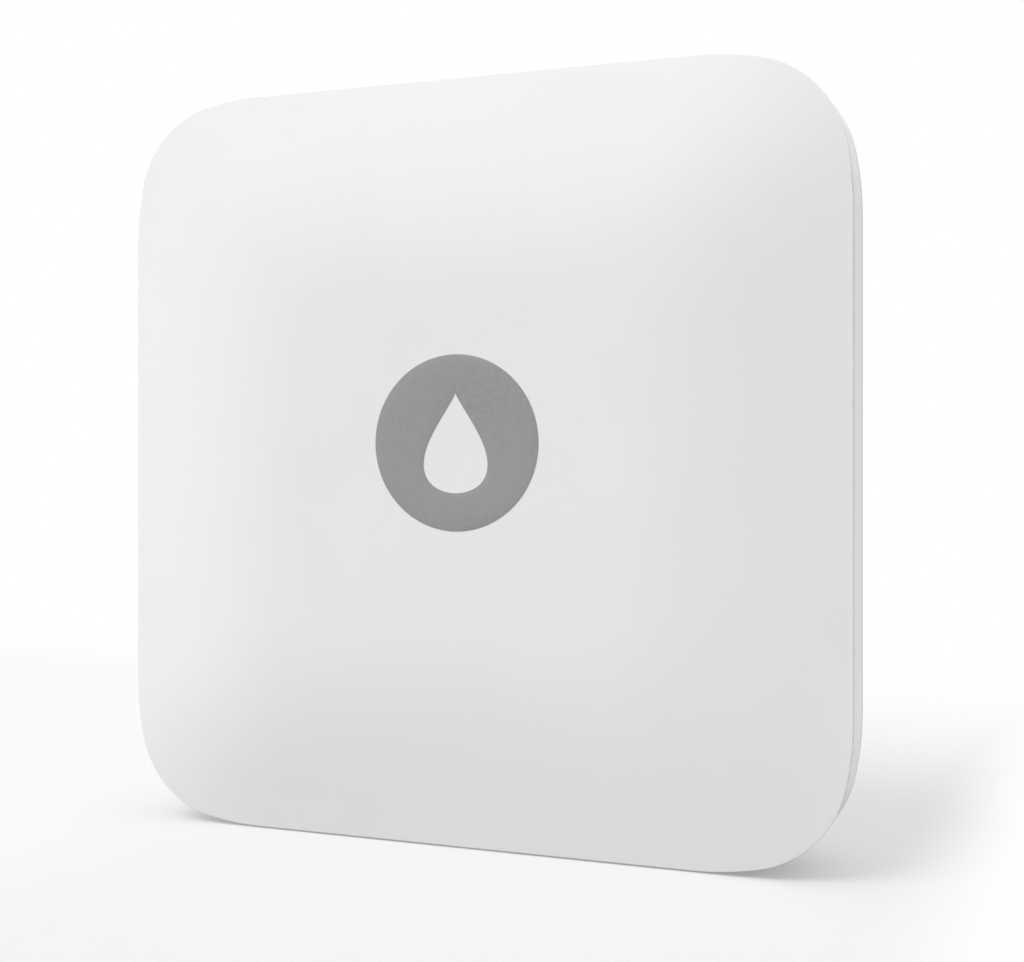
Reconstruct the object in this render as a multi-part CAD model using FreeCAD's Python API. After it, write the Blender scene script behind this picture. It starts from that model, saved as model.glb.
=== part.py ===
import FreeCAD, Part
import math
import os

os.makedirs("parts", exist_ok=True)

# A square leak sensor for the floor under a sink or a boiler. Its white shell has a shallow domed
# front cover and a rounded back. Four metal studs on the back are its feet and feel the water.
# Everything is drawn lying on its back, with X to the right, Y up the face and Z out of the front,
# from the flat of the back at Z = 0. Each piece is stood up on its lower edge when it is saved.

# Housing outline
SIDE = 65.0               # width and height of the housing
CORNER_R = 8.85           # tight middle of each rounded corner
EASE_R = 25.6             # gentle arcs that lead into it from both sides
EASE_TURN = 12.0          # how far each gentle arc turns, in degrees
WALL = 2.4                # side wall of the back shell
BACK_WALL = 1.6           # flat wall of the back shell
TAPER_INSET = 4.5         # how far the flat of the back stays inside the outline
TAPER_START = 25.0        # slope angle at which the rounded back leaves the flat, in degrees
BAND = 4.2                # straight side band
TAPER_STEPS = 4           # rings between the band and the flat of the back

# Front cover
COVER_WALL = 1.6          # wall in the middle of the cover
SEAM = 0.25               # open line between cover and shell
COVER_LIP = 0.5           # upright edge of the cover
LIP_ROUND = 0.25          # rounding of that edge
DOME_RISE = 1.5           # height of the dome above its rim
FLAT_HALF = 15.3          # half width of the flat middle of the dome
SLOPE_WIDTH = 3.9         # steady slope along the edge; the dome bends between the two
DOME_GRID = 17            # heights that guide the dome, each way
SKIRT_WALL = 1.0          # locating skirt inside the shell
SKIRT_DEPTH = 1.3
RIB_WALL = 1.0            # stiffening ribs
RIB_COUNT = 8             # ribs around the door's block
RIB_DROP = 0.6            # how far the cover's ribs hang down
POCKET_MARGIN = 2.5       # the cover's thin middle is this much wider than the flat

# Cover gasket
GASKET_WIDTH = 0.9
GASKET_SUNK = 0.8         # depth of its groove in the shell

# Clearances
FIT = 0.02                # pieces that are pressed or bonded together
RUN = 0.05                # sliding and turning pieces
PLAY = 0.15               # loose fits

# Sides of small or hidden round things, which are drawn with flats; what turns or shows is round
POST_SIDES = 8
PIN_SIDES = 12
HEAD_SIDES = 16
BLOCK_SIDES = 24
CELL_SIDES = 36

# Battery, a flat round cell
CELL_R = 12.25
CELL_H = 5.0
CELL_SKIN = 0.3           # steel of the can
CELL_CAP_R = 10.6         # raised negative cap
CELL_CAP_H = 0.3
CELL_SEAL = 0.5           # depth of the plastic ring between can and cap
CELL_GAP = 0.2            # from the inner face of the door to the cell
WELL_GAP = 0.65           # around the cell, in its well

# Battery door with three lugs
DOOR_R = 17.0
DOOR_PLATE = 1.6
DOOR_SEAT = 0.1           # under the door's edge
DOOR_LEDGE = 1.6          # housing wall around the door
SKIRT_IN = 0.5            # from the cell to the inside of the door's skirt
DOOR_SKIRT = 0.85         # wall of that skirt
SKIRT_SPAN = 44.0         # each of the skirt's three parts, in degrees
LUG_COUNT = 3
LUG_START = 90.0          # angle of the first lug, in degrees
LUG_OUT = 1.4             # how far a lug stands out of the skirt
LUG_H = 1.0
LUG_SPAN = 28.0           # in degrees
DOOR_TURN = 60.0          # from locked to released, in degrees
LIP_H = 1.0               # shell lip that the lugs turn in behind
COIN_LONG = 15.4          # coin slot, at the surface
COIN_T = 1.7
COIN_DEEP = 0.75
DOOR_SEAL = 0.75          # section of the door's sealing ring
DOOR_RIM = 1.0            # edge of the door outside that ring

# Circuit board and what stands on it
BOARD_T = 1.0
BOARD_GAP = 1.8           # from the board's edge to the shell
BOARD_CORNER = 5.5        # cut off each corner
CONTACT_SPACE = 0.8       # from the cell to the board
HEADROOM = 2.2            # from the board to the cover
STRIP = 0.12              # sheet of the spring contacts
HUB_R = 3.5               # middle of the negative contact
HUB_HOLE = 1.2
FINGER_COUNT = 3
FINGER_START = 30.0       # angle of the first finger, in degrees
FINGER_PAD = 1.0          # flat that a finger rests on the cap with
FINGER_IN = 1.5           # from the cap's edge to that flat
RADIO_W = 12.0            # radio board
RADIO_L = 13.0
RADIO_T = 0.6
RADIO_X = -9.5
RADIO_Y = 11.0
RADIO_EDGE = 0.8          # bare board around the shield and the antenna
SHIELD_H = 1.0
SHIELD_WALL = 0.24
SHIELD_TOP = 0.36
ANTENNA_L = 7.0
ANTENNA_W = 2.0
ANTENNA_H = 0.8
CHIP_SIDE = 6.0
CHIP_H = 0.9
CHIP_EDGE = 15.5          # from the right side of the housing
CHIP_Y = 9.0
PART_L = 1.6              # small resistors and capacitors
PART_W = 0.8
PART_H = 0.5
PART_PITCH = 2.4
PART_ROWS = 6
LED_X = 3.5
LED_Y = 12.5
LED_L = 2.0
LED_W = 1.3
LED_H = 0.6
GUIDE_R = 1.5             # light guide between the lamp and the cover
GUIDE_SKIN = 0.6          # cover wall left over it

# Sounder
PIEZO_R = 9.0
PIEZO_T = 0.2
CERAMIC_R = 6.2
CERAMIC_T = 0.2
PIEZO_Y = -5.0
BLADE_W = 1.4             # width of a spring contact
BLADE_L = 3.0             # length of the sounder's spring contacts
CONTACT_FOOT = 1.5        # soldered foot of the positive contact

# Screws and board posts
SCREW_EDGE = 8.5          # from the side of the housing
SCREW_R = 1.0
SCREW_LONG = 7.0
HEAD_R = 1.9
HEAD_H = 1.3
HEAD_SUNK = 1.8           # depth of the counterbore
TOWER_R = 3.0             # shell tower around a screw
BOSS_R = 2.4              # cover boss that takes the screw
JOIN_Z = 4.4              # where boss and tower meet
POST_EDGE = 7.5           # from the side of the housing
POST_Y = 13.0
POST_R = 1.6

# Water studs
STUD_EDGE = 12.0          # from both sides of the housing
STUD_R = 3.0
STUD_PROUD = 0.8
STUD_SUNK = 0.5
STUD_BEVEL = 0.3
SHANK_R = 1.2
STUD_SEAL = 0.8           # section of a stud's sealing ring
STUD_BOSS_R = 3.4
STUD_BOSS_H = 2.0
NUT_R = 2.5
NUT_T = 0.4
STUD_BLADE_L = 2.6        # spring blade between stud and board
STUD_BLADE_H = 1.05

# Pairing button and its switch
BUTTON_X = 11.5
BUTTON_EDGE = 12.0        # from the lower side of the housing
BUTTON_R = 2.0
BUTTON_SUNK = 0.3         # below the flat of the back
BUTTON_DISH = 3.2         # shallow finger dish
BUTTON_FLANGE = 0.6
FLANGE_T = 0.5
STEM_R = 1.0
TRAVEL = 0.3
SWITCH_SIDE = 3.8
SWITCH_H = 1.6
PLUNGER_R = 0.7
PLUNGER_OUT = 0.5
PLUNGER_IN = 0.6
BUTTON_SEAL = 0.5         # section of the button's sealing ring

# Levels worked out from the stack of pieces
HALF = SIDE / 2
BEND_END = HALF - SLOPE_WIDTH
SCREW_AT = HALF - SCREW_EDGE
CHIP_X = HALF - CHIP_EDGE
STUD_AT = HALF - STUD_EDGE
POST_X = HALF - POST_EDGE
BUTTON_Y = BUTTON_EDGE - HALF
CELL_Z = DOOR_PLATE + CELL_GAP
CELL_TOP = CELL_Z + CELL_H
BOARD_Z = CELL_TOP + CONTACT_SPACE
BOARD_TOP = BOARD_Z + BOARD_T
INSIDE_Z = BOARD_TOP + HEADROOM
TOP_Z = INSIDE_Z + COVER_WALL
RIM_Z = TOP_Z - DOME_RISE
COVER_Z = RIM_Z - COVER_LIP
BAND_TOP = COVER_Z - SEAM
TAPER_TOP = BAND_TOP - BAND
MIDDLE_Z = (TOP_Z - STUD_PROUD) / 2
WELL_R = CELL_R + WELL_GAP
LEDGE_Z = DOOR_PLATE + DOOR_SEAT
LUG_Z = LEDGE_Z + LIP_H + RUN
GROOVE_TOP = LUG_Z + LUG_H + PLAY
BLOCK_TOP = GROOVE_TOP + BACK_WALL
SKIRT_R = CELL_R + SKIRT_IN + DOOR_SKIRT
LUG_R = SKIRT_R + LUG_OUT
BLOCK_R = DOOR_R + PLAY + DOOR_LEDGE
SEAL_IN = DOOR_R - DOOR_RIM - DOOR_SEAL
SEAL_Z = LEDGE_Z - FIT - DOOR_SEAL
SHIELD_W = RADIO_W - 2 * RADIO_EDGE
SHIELD_L = RADIO_L - ANTENNA_W - 3 * RADIO_EDGE
SHIELD_Y = RADIO_Y + RADIO_EDGE - (RADIO_L - SHIELD_L) / 2
ANTENNA_Y = RADIO_Y - RADIO_EDGE + (RADIO_L - ANTENNA_W) / 2


def vec(x, y, z=0.0):
    return FreeCAD.Vector(x, y, z)


def save(name, shape):
    """Stand the piece up, front to -Y, lower edge of the housing on Z = 0, and write it."""
    stood = shape.copy()
    stood.rotate(vec(0, 0), vec(1, 0), 90)
    stood.translate(vec(0, MIDDLE_Z, HALF))
    stood.exportStep("parts/" + name + ".step")


def tube(r_out, r_in, z0, z1, x=0.0, y=0.0):
    """Round ring or, with r_in of 0, a disc, from z0 to z1."""
    body = Part.makeCylinder(r_out, z1 - z0, vec(x, y, z0))
    if r_in > 0:
        body = body.cut(Part.makeCylinder(r_in, z1 - z0, vec(x, y, z0)))
    return body


def block(w, l, z0, z1, x=0.0, y=0.0):
    """Upright box centred on x, y."""
    return Part.makeBox(w, l, z1 - z0, vec(x - w / 2, y - l / 2, z0))


def boss(r, z0, z1, x=0.0, y=0.0, sides=POST_SIDES):
    """Many-sided post or hole, r to its flats, for small round things inside."""
    half_side = math.pi / sides
    corners = [vec(px, py, z0)
               for px, py, a in around(sides, r / math.cos(half_side), math.degrees(half_side))]
    body = Part.Face(Part.makePolygon(corners + corners[:1])).extrude(vec(0, 0, z1 - z0))
    body.translate(vec(x, y))
    return body


def boss_ring(r_out, r_in, z0, z1, x=0.0, y=0.0, sides=PIN_SIDES):
    """Many-sided ring, for small seals and clips inside."""
    return boss(r_out, z0, z1, x, y, sides).cut(boss(r_in, z0, z1, x, y, sides))


def turned(points, x=0.0, y=0.0):
    """Solid of revolution about Z from a closed half section of (radius, z) points."""
    wire = Part.makePolygon([vec(r, 0, z) for r, z in points + points[:1]])
    body = Part.Face(wire).revolve(vec(0, 0), vec(0, 0, 1), 360)
    body.translate(vec(x, y))
    return body


def sector(r_out, z0, z1, middle, span):
    """Pie slice about the axis, centred on the angle middle."""
    body = Part.makeCylinder(r_out, z1 - z0, vec(0, 0, z0), vec(0, 0, 1), span)
    body.rotate(vec(0, 0), vec(0, 0, 1), middle - span / 2)
    return body


def outline(half, tight, ease, z):
    """Square outline, each corner a gentle, a tight and a gentle arc that run into one another."""
    turns = [math.radians(a) for a in (EASE_TURN, 90 - 2 * EASE_TURN, EASE_TURN)]
    lead = turns[0]
    reach = ease * (math.sin(lead) + 1 - math.cos(lead)) + tight * (math.cos(lead) - math.sin(lead))
    edges = []
    for quarter in range(4):
        side = [vec(half, reach - half), vec(half, half - reach)]
        edges.append(Part.makeLine(*[turned_quarter(p, quarter, z) for p in side]))
        start, heading = side[1], 0.0
        for radius, turn in zip((ease, tight, ease), turns):
            centre = start - vec(radius * math.cos(heading), radius * math.sin(heading))
            on = [centre + vec(radius * math.cos(heading + f * turn),
                               radius * math.sin(heading + f * turn)) for f in (0, 0.5, 1)]
            edges.append(Part.Arc(*[turned_quarter(p, quarter, z) for p in on]).toShape())
            start, heading = on[2], heading + turn
    return Part.Wire(edges)


def turned_quarter(point, quarter, z):
    """Point turned by whole quarters about the middle and lifted to z."""
    x, y = point.x, point.y
    for i in range(quarter):
        x, y = -y, x
    return vec(x, y, z)


def inset_outline(inset, z):
    """Housing outline moved inwards by the same distance all round."""
    return outline(HALF - inset, CORNER_R - inset, EASE_R - inset, z)


def prism(inset, z0, z1):
    """Upright body of the housing outline, moved inwards."""
    return Part.Face(inset_outline(inset, z0)).extrude(vec(0, 0, z1 - z0))


def hoop(inset, width, z0, z1):
    """Upright wall that follows the housing outline."""
    return prism(inset, z0, z1).cut(prism(inset + width, z0, z1))


def bent_strip(points, width, thick=STRIP):
    """Sheet strip along (x, z) points, thick on its left side and centred on Y = 0."""
    left = []
    for i, (x, z) in enumerate(points):
        before = points[max(i - 1, 0)]
        after = points[min(i + 1, len(points) - 1)]
        a0 = math.atan2(z - before[1], x - before[0]) if i else None
        a1 = math.atan2(after[1] - z, after[0] - x) if i < len(points) - 1 else a0
        a0 = a1 if a0 is None else a0
        half_turn = (a1 - a0 + math.pi) % (2 * math.pi) / 2 - math.pi / 2
        a = a0 + half_turn + math.pi / 2
        out = thick / math.cos(half_turn)
        left.append((x + out * math.cos(a), z + out * math.sin(a)))
    ring = points + left[::-1]
    wire = Part.makePolygon([vec(x, -width / 2, z) for x, z in ring + ring[:1]])
    return Part.Face(wire).extrude(vec(0, width, 0))


def placed(shape, x, y, angle=0.0):
    """Copy turned about Z and moved to x, y."""
    moved = shape.copy()
    moved.rotate(vec(0, 0), vec(0, 0, 1), angle)
    moved.translate(vec(x, y))
    return moved


def around(count, radius, start=0.0):
    """Even places on a circle as (x, y, angle)."""
    for i in range(count):
        a = start + 360.0 * i / count
        yield radius * math.cos(math.radians(a)), radius * math.sin(math.radians(a)), a


def dome_height(x, y):
    """Height of the front: flat in the middle, then an even bend, then a steady slope.

    Its level lines are squares with corners as full as the housing's own."""
    lead = math.radians(EASE_TURN)
    corner = HALF - EASE_R + (EASE_R - CORNER_R) * math.cos(lead) + CORNER_R * math.sqrt(0.5)
    power = math.log(2) / math.log(HALF / corner)
    u = (abs(x) ** power + abs(y) ** power) ** (1 / power)
    bend = BEND_END - FLAT_HALF
    slope = DOME_RISE / (bend / 2 + SLOPE_WIDTH)
    if u <= FLAT_HALF:
        return TOP_Z
    if u <= BEND_END:
        return TOP_Z - slope * (u - FLAT_HALF) ** 2 / (2 * bend)
    return TOP_Z - slope * (bend / 2 + u - BEND_END)


def dome_surface():
    """One smooth surface over the whole front."""
    span = HALF + WALL
    grid = [span * (2 * i / (DOME_GRID - 1) - 1) for i in range(DOME_GRID)]
    surface = Part.BSplineSurface()
    surface.interpolate([[vec(x, y, dome_height(x, y)) for y in grid] for x in grid])
    return surface.toShape()


def front_cover():
    """Domed cover with its skirt, ribs, screw bosses and board pins."""
    bevel = 2 * LIP_ROUND
    blank = Part.makeLoft([inset_outline(0, COVER_Z), inset_outline(0, RIM_Z - LIP_ROUND),
                           inset_outline(bevel, RIM_Z - LIP_ROUND + bevel),
                           inset_outline(bevel, TOP_Z + bevel)], True, True)
    cover = blank.cut(dome_surface().extrude(vec(0, 0, 2 * DOME_RISE)))
    # Ribs across the inside, around the thin middle that takes the sounder
    inner = FLAT_HALF + POCKET_MARGIN
    reach = HALF - WALL - PLAY - SKIRT_WALL / 2
    for x, y, a in around(4, inner + RIB_WALL / 2):
        rib = block(RIB_WALL, 2 * reach, COVER_Z - RIB_DROP, COVER_Z)
        cover = cover.fuse(placed(rib, x, y, a))
    cover = cover.cut(block(2 * inner, 2 * inner, COVER_Z - RIB_DROP, INSIDE_Z))
    cover = cover.fuse(hoop(WALL + PLAY, SKIRT_WALL, COVER_Z - SKIRT_DEPTH, COVER_Z))
    # Screw bosses and the pins that hold the board down
    for x, y, a in around(4, SCREW_AT):
        cover = cover.fuse(boss(BOSS_R, JOIN_Z, COVER_Z, x, y))
    for x in (-POST_X, POST_X):
        for y in (-POST_Y, POST_Y):
            cover = cover.fuse(boss(POST_R, BOARD_TOP, COVER_Z, x, y))
    screw_end = HEAD_SUNK + SCREW_LONG + PLAY
    for x, y, a in around(4, SCREW_AT):
        cover = cover.cut(boss(SCREW_R + FIT, JOIN_Z, screw_end, x, y))
    guide_hole = boss(GUIDE_R + FIT, INSIDE_Z, TOP_Z - GUIDE_SKIN, LED_X, LED_Y, PIN_SIDES)
    return cover.cut(guide_hole).removeSplitter()


def tray(inset, z_from, steps=1):
    """Body of the back from z_from up, moved inwards all round, its edge part of an ellipse."""
    a0 = math.radians(TAPER_START)
    a1 = math.acos(math.cos(a0) * (1 - z_from / TAPER_TOP))
    rings = []
    for i in range(steps + 1):
        a = a1 + (math.pi / 2 - a1) * i / steps
        step = TAPER_INSET * (1 - math.sin(a)) / (1 - math.sin(a0))
        z = TAPER_TOP * (1 - math.cos(a) / math.cos(a0))
        rings.append(inset_outline(inset + step, z))
    rings.append(inset_outline(inset, BAND_TOP))
    return Part.makeLoft(rings, True, True)


def back_shell():
    """Tray with the door seat and cell well, screw towers, board posts, stud and button holes."""
    shell = tray(0, 0, TAPER_STEPS).cut(tray(WALL, BACK_WALL))
    shell = shell.fuse(boss(BLOCK_R, 0, BLOCK_TOP, sides=BLOCK_SIDES))
    for x, y, a in around(4, SCREW_AT):
        shell = shell.fuse(boss(TOWER_R, 0, JOIN_Z, x, y))
    for x, y, a in around(RIB_COUNT, (BLOCK_R + SCREW_AT) / 2):
        rib = block(SCREW_AT - BLOCK_R + WALL, RIB_WALL, 0, BACK_WALL + STUD_BOSS_H)
        shell = shell.fuse(placed(rib, x, y, a))
    for x, y in stud_places():
        shell = shell.fuse(boss(STUD_BOSS_R, 0, BACK_WALL + STUD_BOSS_H, x, y))
    for x in (-POST_X, POST_X):
        for y in (-POST_Y, POST_Y):
            shell = shell.fuse(boss(POST_R, 0, BOARD_Z, x, y))
    # Room for the cover's bosses and the button's flange
    for x, y, a in around(4, SCREW_AT):
        shell = shell.cut(boss(BOSS_R + PLAY, JOIN_Z, BAND_TOP, x, y))
    shell = shell.cut(boss(BUTTON_R + BUTTON_FLANGE + PLAY, BACK_WALL, BAND_TOP,
                           BUTTON_X, BUTTON_Y))
    # Door seat, lug ways and cell well
    shell = shell.cut(tube(DOOR_R + PLAY, 0, 0, LEDGE_Z))
    shell = shell.cut(tube(SKIRT_R + PLAY, 0, LEDGE_Z, GROOVE_TOP))
    shell = shell.cut(boss(WELL_R, GROOVE_TOP, BLOCK_TOP, sides=CELL_SIDES))
    way = LUG_R + PLAY
    slack = math.degrees(PLAY / LUG_R)
    for x, y, a in around(LUG_COUNT, 0, LUG_START):
        swing = sector(way, LUG_Z - RUN, GROOVE_TOP, a - DOOR_TURN / 2,
                       LUG_SPAN + DOOR_TURN + 2 * slack)
        entry = sector(way, LEDGE_Z, GROOVE_TOP, a - DOOR_TURN, LUG_SPAN + 2 * slack)
        shell = shell.cut(swing).cut(entry)
    # Holes for the screws, studs and button
    for x, y, a in around(4, SCREW_AT):
        shell = shell.cut(boss(HEAD_R + PLAY, 0, HEAD_SUNK, x, y, BLOCK_SIDES))
        shell = shell.cut(boss(SCREW_R + PLAY, HEAD_SUNK, JOIN_Z, x, y, PIN_SIDES))
    for x, y in stud_places():
        shell = shell.cut(tube(STUD_R + RUN, 0, 0, STUD_SUNK + STUD_SEAL, x, y))
        shell = shell.cut(boss(SHANK_R + FIT, 0, BACK_WALL + STUD_BOSS_H, x, y, PIN_SIDES))
    shell = shell.cut(tube(BUTTON_DISH, 0, 0, BUTTON_SUNK, BUTTON_X, BUTTON_Y))
    shell = shell.cut(tube(BUTTON_R + RUN, 0, 0, BACK_WALL, BUTTON_X, BUTTON_Y))
    # Step for the gasket, inside the top of the wall
    step = prism(WALL - GASKET_WIDTH, BAND_TOP - GASKET_SUNK, BAND_TOP)
    return shell.cut(step).removeSplitter()


def cover_gasket():
    """Rubber ring on the shell's step, outside the cover's skirt and up against its underside."""
    inset = WALL - GASKET_WIDTH + FIT
    return hoop(inset, GASKET_WIDTH - FIT, BAND_TOP - GASKET_SUNK, COVER_Z)


def battery_door():
    """Round door with three skirt parts and lugs, a step for its seal and a coin slot."""
    skirt_top = LUG_Z + LUG_H
    door = tube(DOOR_R, 0, 0, SEAL_Z).fuse(tube(SEAL_IN, 0, SEAL_Z, DOOR_PLATE))
    for x, y, a in around(LUG_COUNT, 0, LUG_START):
        skirt = sector(SKIRT_R, DOOR_PLATE, skirt_top, a, SKIRT_SPAN)
        lug = sector(LUG_R, LUG_Z, skirt_top, a, LUG_SPAN)
        door = door.fuse(skirt.fuse(lug).cut(tube(SKIRT_R - DOOR_SKIRT, 0, DOOR_PLATE, skirt_top)))
    # The slot's floor is an arc, as a coin's edge is
    floor_r = COIN_LONG ** 2 / (8 * COIN_DEEP) + COIN_DEEP / 2
    coin = Part.makeCylinder(floor_r, COIN_T, vec(0, -COIN_T / 2, COIN_DEEP - floor_r), vec(0, 1))
    return door.cut(coin).removeSplitter()


def door_seal():
    """Rubber ring on the door's step, up against the shell's ledge."""
    inner = SEAL_IN + FIT
    return boss_ring(inner + DOOR_SEAL, inner, SEAL_Z, LEDGE_Z - FIT, sides=CELL_SIDES)


def battery():
    """The cell's steel can, its filling, the plastic ring and the raised cap, in that order."""
    rim = CELL_TOP - CELL_CAP_H
    inside = CELL_R - CELL_SKIN
    can = tube(CELL_R, 0, CELL_Z, rim).cut(boss(inside, CELL_Z + CELL_SKIN, rim, sides=CELL_SIDES))
    core = boss(inside - FIT, CELL_Z + CELL_SKIN, rim - CELL_SEAL, sides=CELL_SIDES)
    ring = boss_ring(inside - FIT, CELL_CAP_R + FIT, rim - CELL_SEAL, rim, sides=CELL_SIDES)
    return can, core, ring, boss(CELL_CAP_R, rim - CELL_SEAL, CELL_TOP, sides=CELL_SIDES)


def negative_contact():
    """Round spring plate under the board, with three fingers bent down on to the cap."""
    body = boss_ring(HUB_R, HUB_HOLE, BOARD_Z - STRIP, BOARD_Z, sides=BLOCK_SIDES)
    low = CELL_TOP + FIT
    reach = CELL_CAP_R - FINGER_IN
    finger = bent_strip([(HUB_R - FINGER_PAD, BOARD_Z - STRIP), (HUB_R + FINGER_PAD, BOARD_Z - STRIP),
                         (reach - FINGER_PAD, low), (reach, low),
                         (reach + FINGER_PAD / 2, low + STRIP)], BLADE_W)
    for x, y, a in around(FINGER_COUNT, 0, FINGER_START):
        body = body.fuse(placed(finger, 0, 0, a))
    return body.removeSplitter()


def positive_contact():
    """Bent strip from the board down the side of the cell, bowed against the can."""
    side = CELL_R + FIT
    middle = (BLOCK_TOP + CELL_TOP - CELL_CAP_H) / 2
    bow = WELL_GAP / 3
    return bent_strip([(side + bow + CONTACT_FOOT, BOARD_Z - STRIP), (side + bow, BOARD_Z - STRIP),
                       (side, middle + PLAY), (side, middle - PLAY),
                       (side + bow, BLOCK_TOP + RUN)], 2 * BLADE_W)


def circuit_board():
    """Square board with its corners cut off and a hole for each of the cover's bosses."""
    side = 2 * (HALF - WALL - BOARD_GAP)
    board = block(side, side, BOARD_Z, BOARD_TOP)
    board = board.makeChamfer(BOARD_CORNER, upright_edges(board))
    for x, y, a in around(4, SCREW_AT):
        board = board.cut(boss(BOSS_R + 2 * PLAY, BOARD_Z, BOARD_TOP, x, y))
    return board


def upright_edges(body):
    return [e for e in body.Edges if abs(e.Vertexes[0].Z - e.Vertexes[1].Z) > FIT]


def spring_blade(length, z_fixed, z_tip):
    """Folded spring contact, soldered at z_fixed and touching at z_tip."""
    way = 1 if z_tip > z_fixed else -1
    rise = abs(z_tip - z_fixed)
    foot = z_fixed if way > 0 else z_fixed - STRIP
    tip = z_tip - FIT if way > 0 else z_tip + STRIP + FIT
    half = length / 2
    path = [(-half, foot), (half - rise / 2, foot), (half, foot + way * rise / 3),
            (half - rise / 2, foot + way * rise * 0.6), (-half / 2, tip), (-half, tip)]
    return bent_strip(path, BLADE_W)


def shield():
    """Drawn metal lid over the radio chip, bevelled along its upper edges."""
    z0 = BOARD_TOP + RADIO_T
    lid = block(SHIELD_W, SHIELD_L, z0, z0 + SHIELD_H, RADIO_X, SHIELD_Y)
    upper = [e for e in lid.Edges if all(v.Z > z0 + FIT for v in e.Vertexes)]
    lid = lid.makeChamfer(LIP_ROUND, upper)
    return lid.cut(block(SHIELD_W - 2 * SHIELD_WALL, SHIELD_L - 2 * SHIELD_WALL, z0,
                         z0 + SHIELD_H - SHIELD_TOP, RADIO_X, SHIELD_Y))


def radio_chip():
    z0 = BOARD_TOP + RADIO_T
    return block(SHIELD_L / 2, SHIELD_L / 2, z0, z0 + SHIELD_H / 2, RADIO_X, SHIELD_Y)


def small_parts():
    """Rows of resistors and capacitors beside the two chips."""
    pieces = []
    for i in range(PART_ROWS):
        y = CHIP_Y - CHIP_SIDE / 2 - PART_PITCH - PART_PITCH * i
        pieces.append(block(PART_L, PART_W, BOARD_TOP, BOARD_TOP + PART_H, CHIP_X, y))
        pieces.append(block(PART_L, PART_W, BOARD_TOP, BOARD_TOP + PART_H, CHIP_X - PART_PITCH, y))
        pieces.append(block(PART_W, PART_L, BOARD_TOP, BOARD_TOP + PART_H,
                            RADIO_X - RADIO_W / 2 - PART_PITCH / 2, y))
    return Part.makeCompound(pieces)


def piezo():
    """Brass disc bonded into the cover and the ceramic disc on it, as two bodies."""
    plate = boss(PIEZO_R, INSIDE_Z - PIEZO_T, INSIDE_Z, 0, PIEZO_Y, CELL_SIDES)
    low = INSIDE_Z - PIEZO_T - CERAMIC_T
    return plate, boss(CERAMIC_R, low, INSIDE_Z - PIEZO_T, 0, PIEZO_Y, CELL_SIDES)


def light_guide():
    """Clear rod from just over the lamp into its blind hole in the cover."""
    return boss(GUIDE_R, BOARD_TOP + LED_H + PLAY, TOP_Z - GUIDE_SKIN, LED_X, LED_Y, PIN_SIDES)


def stud_places():
    return [(x, y) for x in (-STUD_AT, STUD_AT) for y in (-STUD_AT, STUD_AT)]


def water_stud(x, y):
    """Turned stud: a foot that touches the floor and a shank through the shell to its blade."""
    foot = turned([(0, -STUD_PROUD), (STUD_R - STUD_BEVEL, -STUD_PROUD),
                   (STUD_R, STUD_BEVEL - STUD_PROUD), (STUD_R, STUD_SUNK), (0, STUD_SUNK)], x, y)
    return foot.fuse(boss(SHANK_R, STUD_SUNK, BOARD_Z - STUD_BLADE_H, x, y, PIN_SIDES))


def stud_seal(x, y):
    """Rubber ring round the shank, between the stud's foot and the shell."""
    inner = SHANK_R + FIT
    return boss_ring(inner + STUD_SEAL, inner, STUD_SUNK, STUD_SUNK + STUD_SEAL, x, y)


def push_nuts():
    """Square spring clips that hold the studs from inside."""
    z0 = BACK_WALL + STUD_BOSS_H
    nuts = []
    for x, y in stud_places():
        clip = block(2 * NUT_R, 2 * NUT_R, z0, z0 + NUT_T, x, y)
        nuts.append(clip.cut(boss(SHANK_R + FIT, z0, z0 + NUT_T, x, y, PIN_SIDES)))
    return Part.makeCompound(nuts)


def housing_screws():
    """Four small screws, from the back into the cover's bosses."""
    screws = []
    for x, y, a in around(4, SCREW_AT):
        head = boss(HEAD_R, HEAD_SUNK - HEAD_H, HEAD_SUNK, x, y, HEAD_SIDES)
        screws.append(head.fuse(boss(SCREW_R, HEAD_SUNK, HEAD_SUNK + SCREW_LONG, x, y)))
    return Part.makeCompound(screws)


def pairing_button():
    """Round button with a seal groove, a flange that keeps it in and a stem to the switch."""
    flange_z = BACK_WALL + RUN
    tip = BOARD_Z - SWITCH_H - PLUNGER_OUT - FIT
    button = tube(BUTTON_R, 0, BUTTON_SUNK, flange_z, BUTTON_X, BUTTON_Y)
    button = button.fuse(boss(BUTTON_R + BUTTON_FLANGE, flange_z, flange_z + FLANGE_T,
                              BUTTON_X, BUTTON_Y, HEAD_SIDES))
    button = button.fuse(boss(STEM_R, flange_z + FLANGE_T, tip, BUTTON_X, BUTTON_Y))
    low, high = button_groove()
    return button.cut(tube(BUTTON_R, BUTTON_R - BUTTON_SEAL, low, high, BUTTON_X, BUTTON_Y))


def button_groove():
    """Lower and upper side of the seal groove, in the middle of the button's guide."""
    middle = (BUTTON_SUNK + BACK_WALL) / 2
    return middle - BUTTON_SEAL / 2, middle + BUTTON_SEAL / 2


def button_seal():
    low, high = button_groove()
    return boss_ring(BUTTON_R, BUTTON_R - BUTTON_SEAL + FIT, low + FIT, high - FIT,
                     BUTTON_X, BUTTON_Y, HEAD_SIDES)


def switch_body():
    """Moulded body of the tact switch, under the board."""
    low = BOARD_Z - SWITCH_H
    body = block(SWITCH_SIDE, SWITCH_SIDE, low, BOARD_Z, BUTTON_X, BUTTON_Y)
    body = body.makeChamfer(LIP_ROUND, upright_edges(body))
    return body.cut(boss(PLUNGER_R + RUN, low, low + PLUNGER_IN + TRAVEL + PLAY,
                         BUTTON_X, BUTTON_Y, PIN_SIDES))


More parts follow.
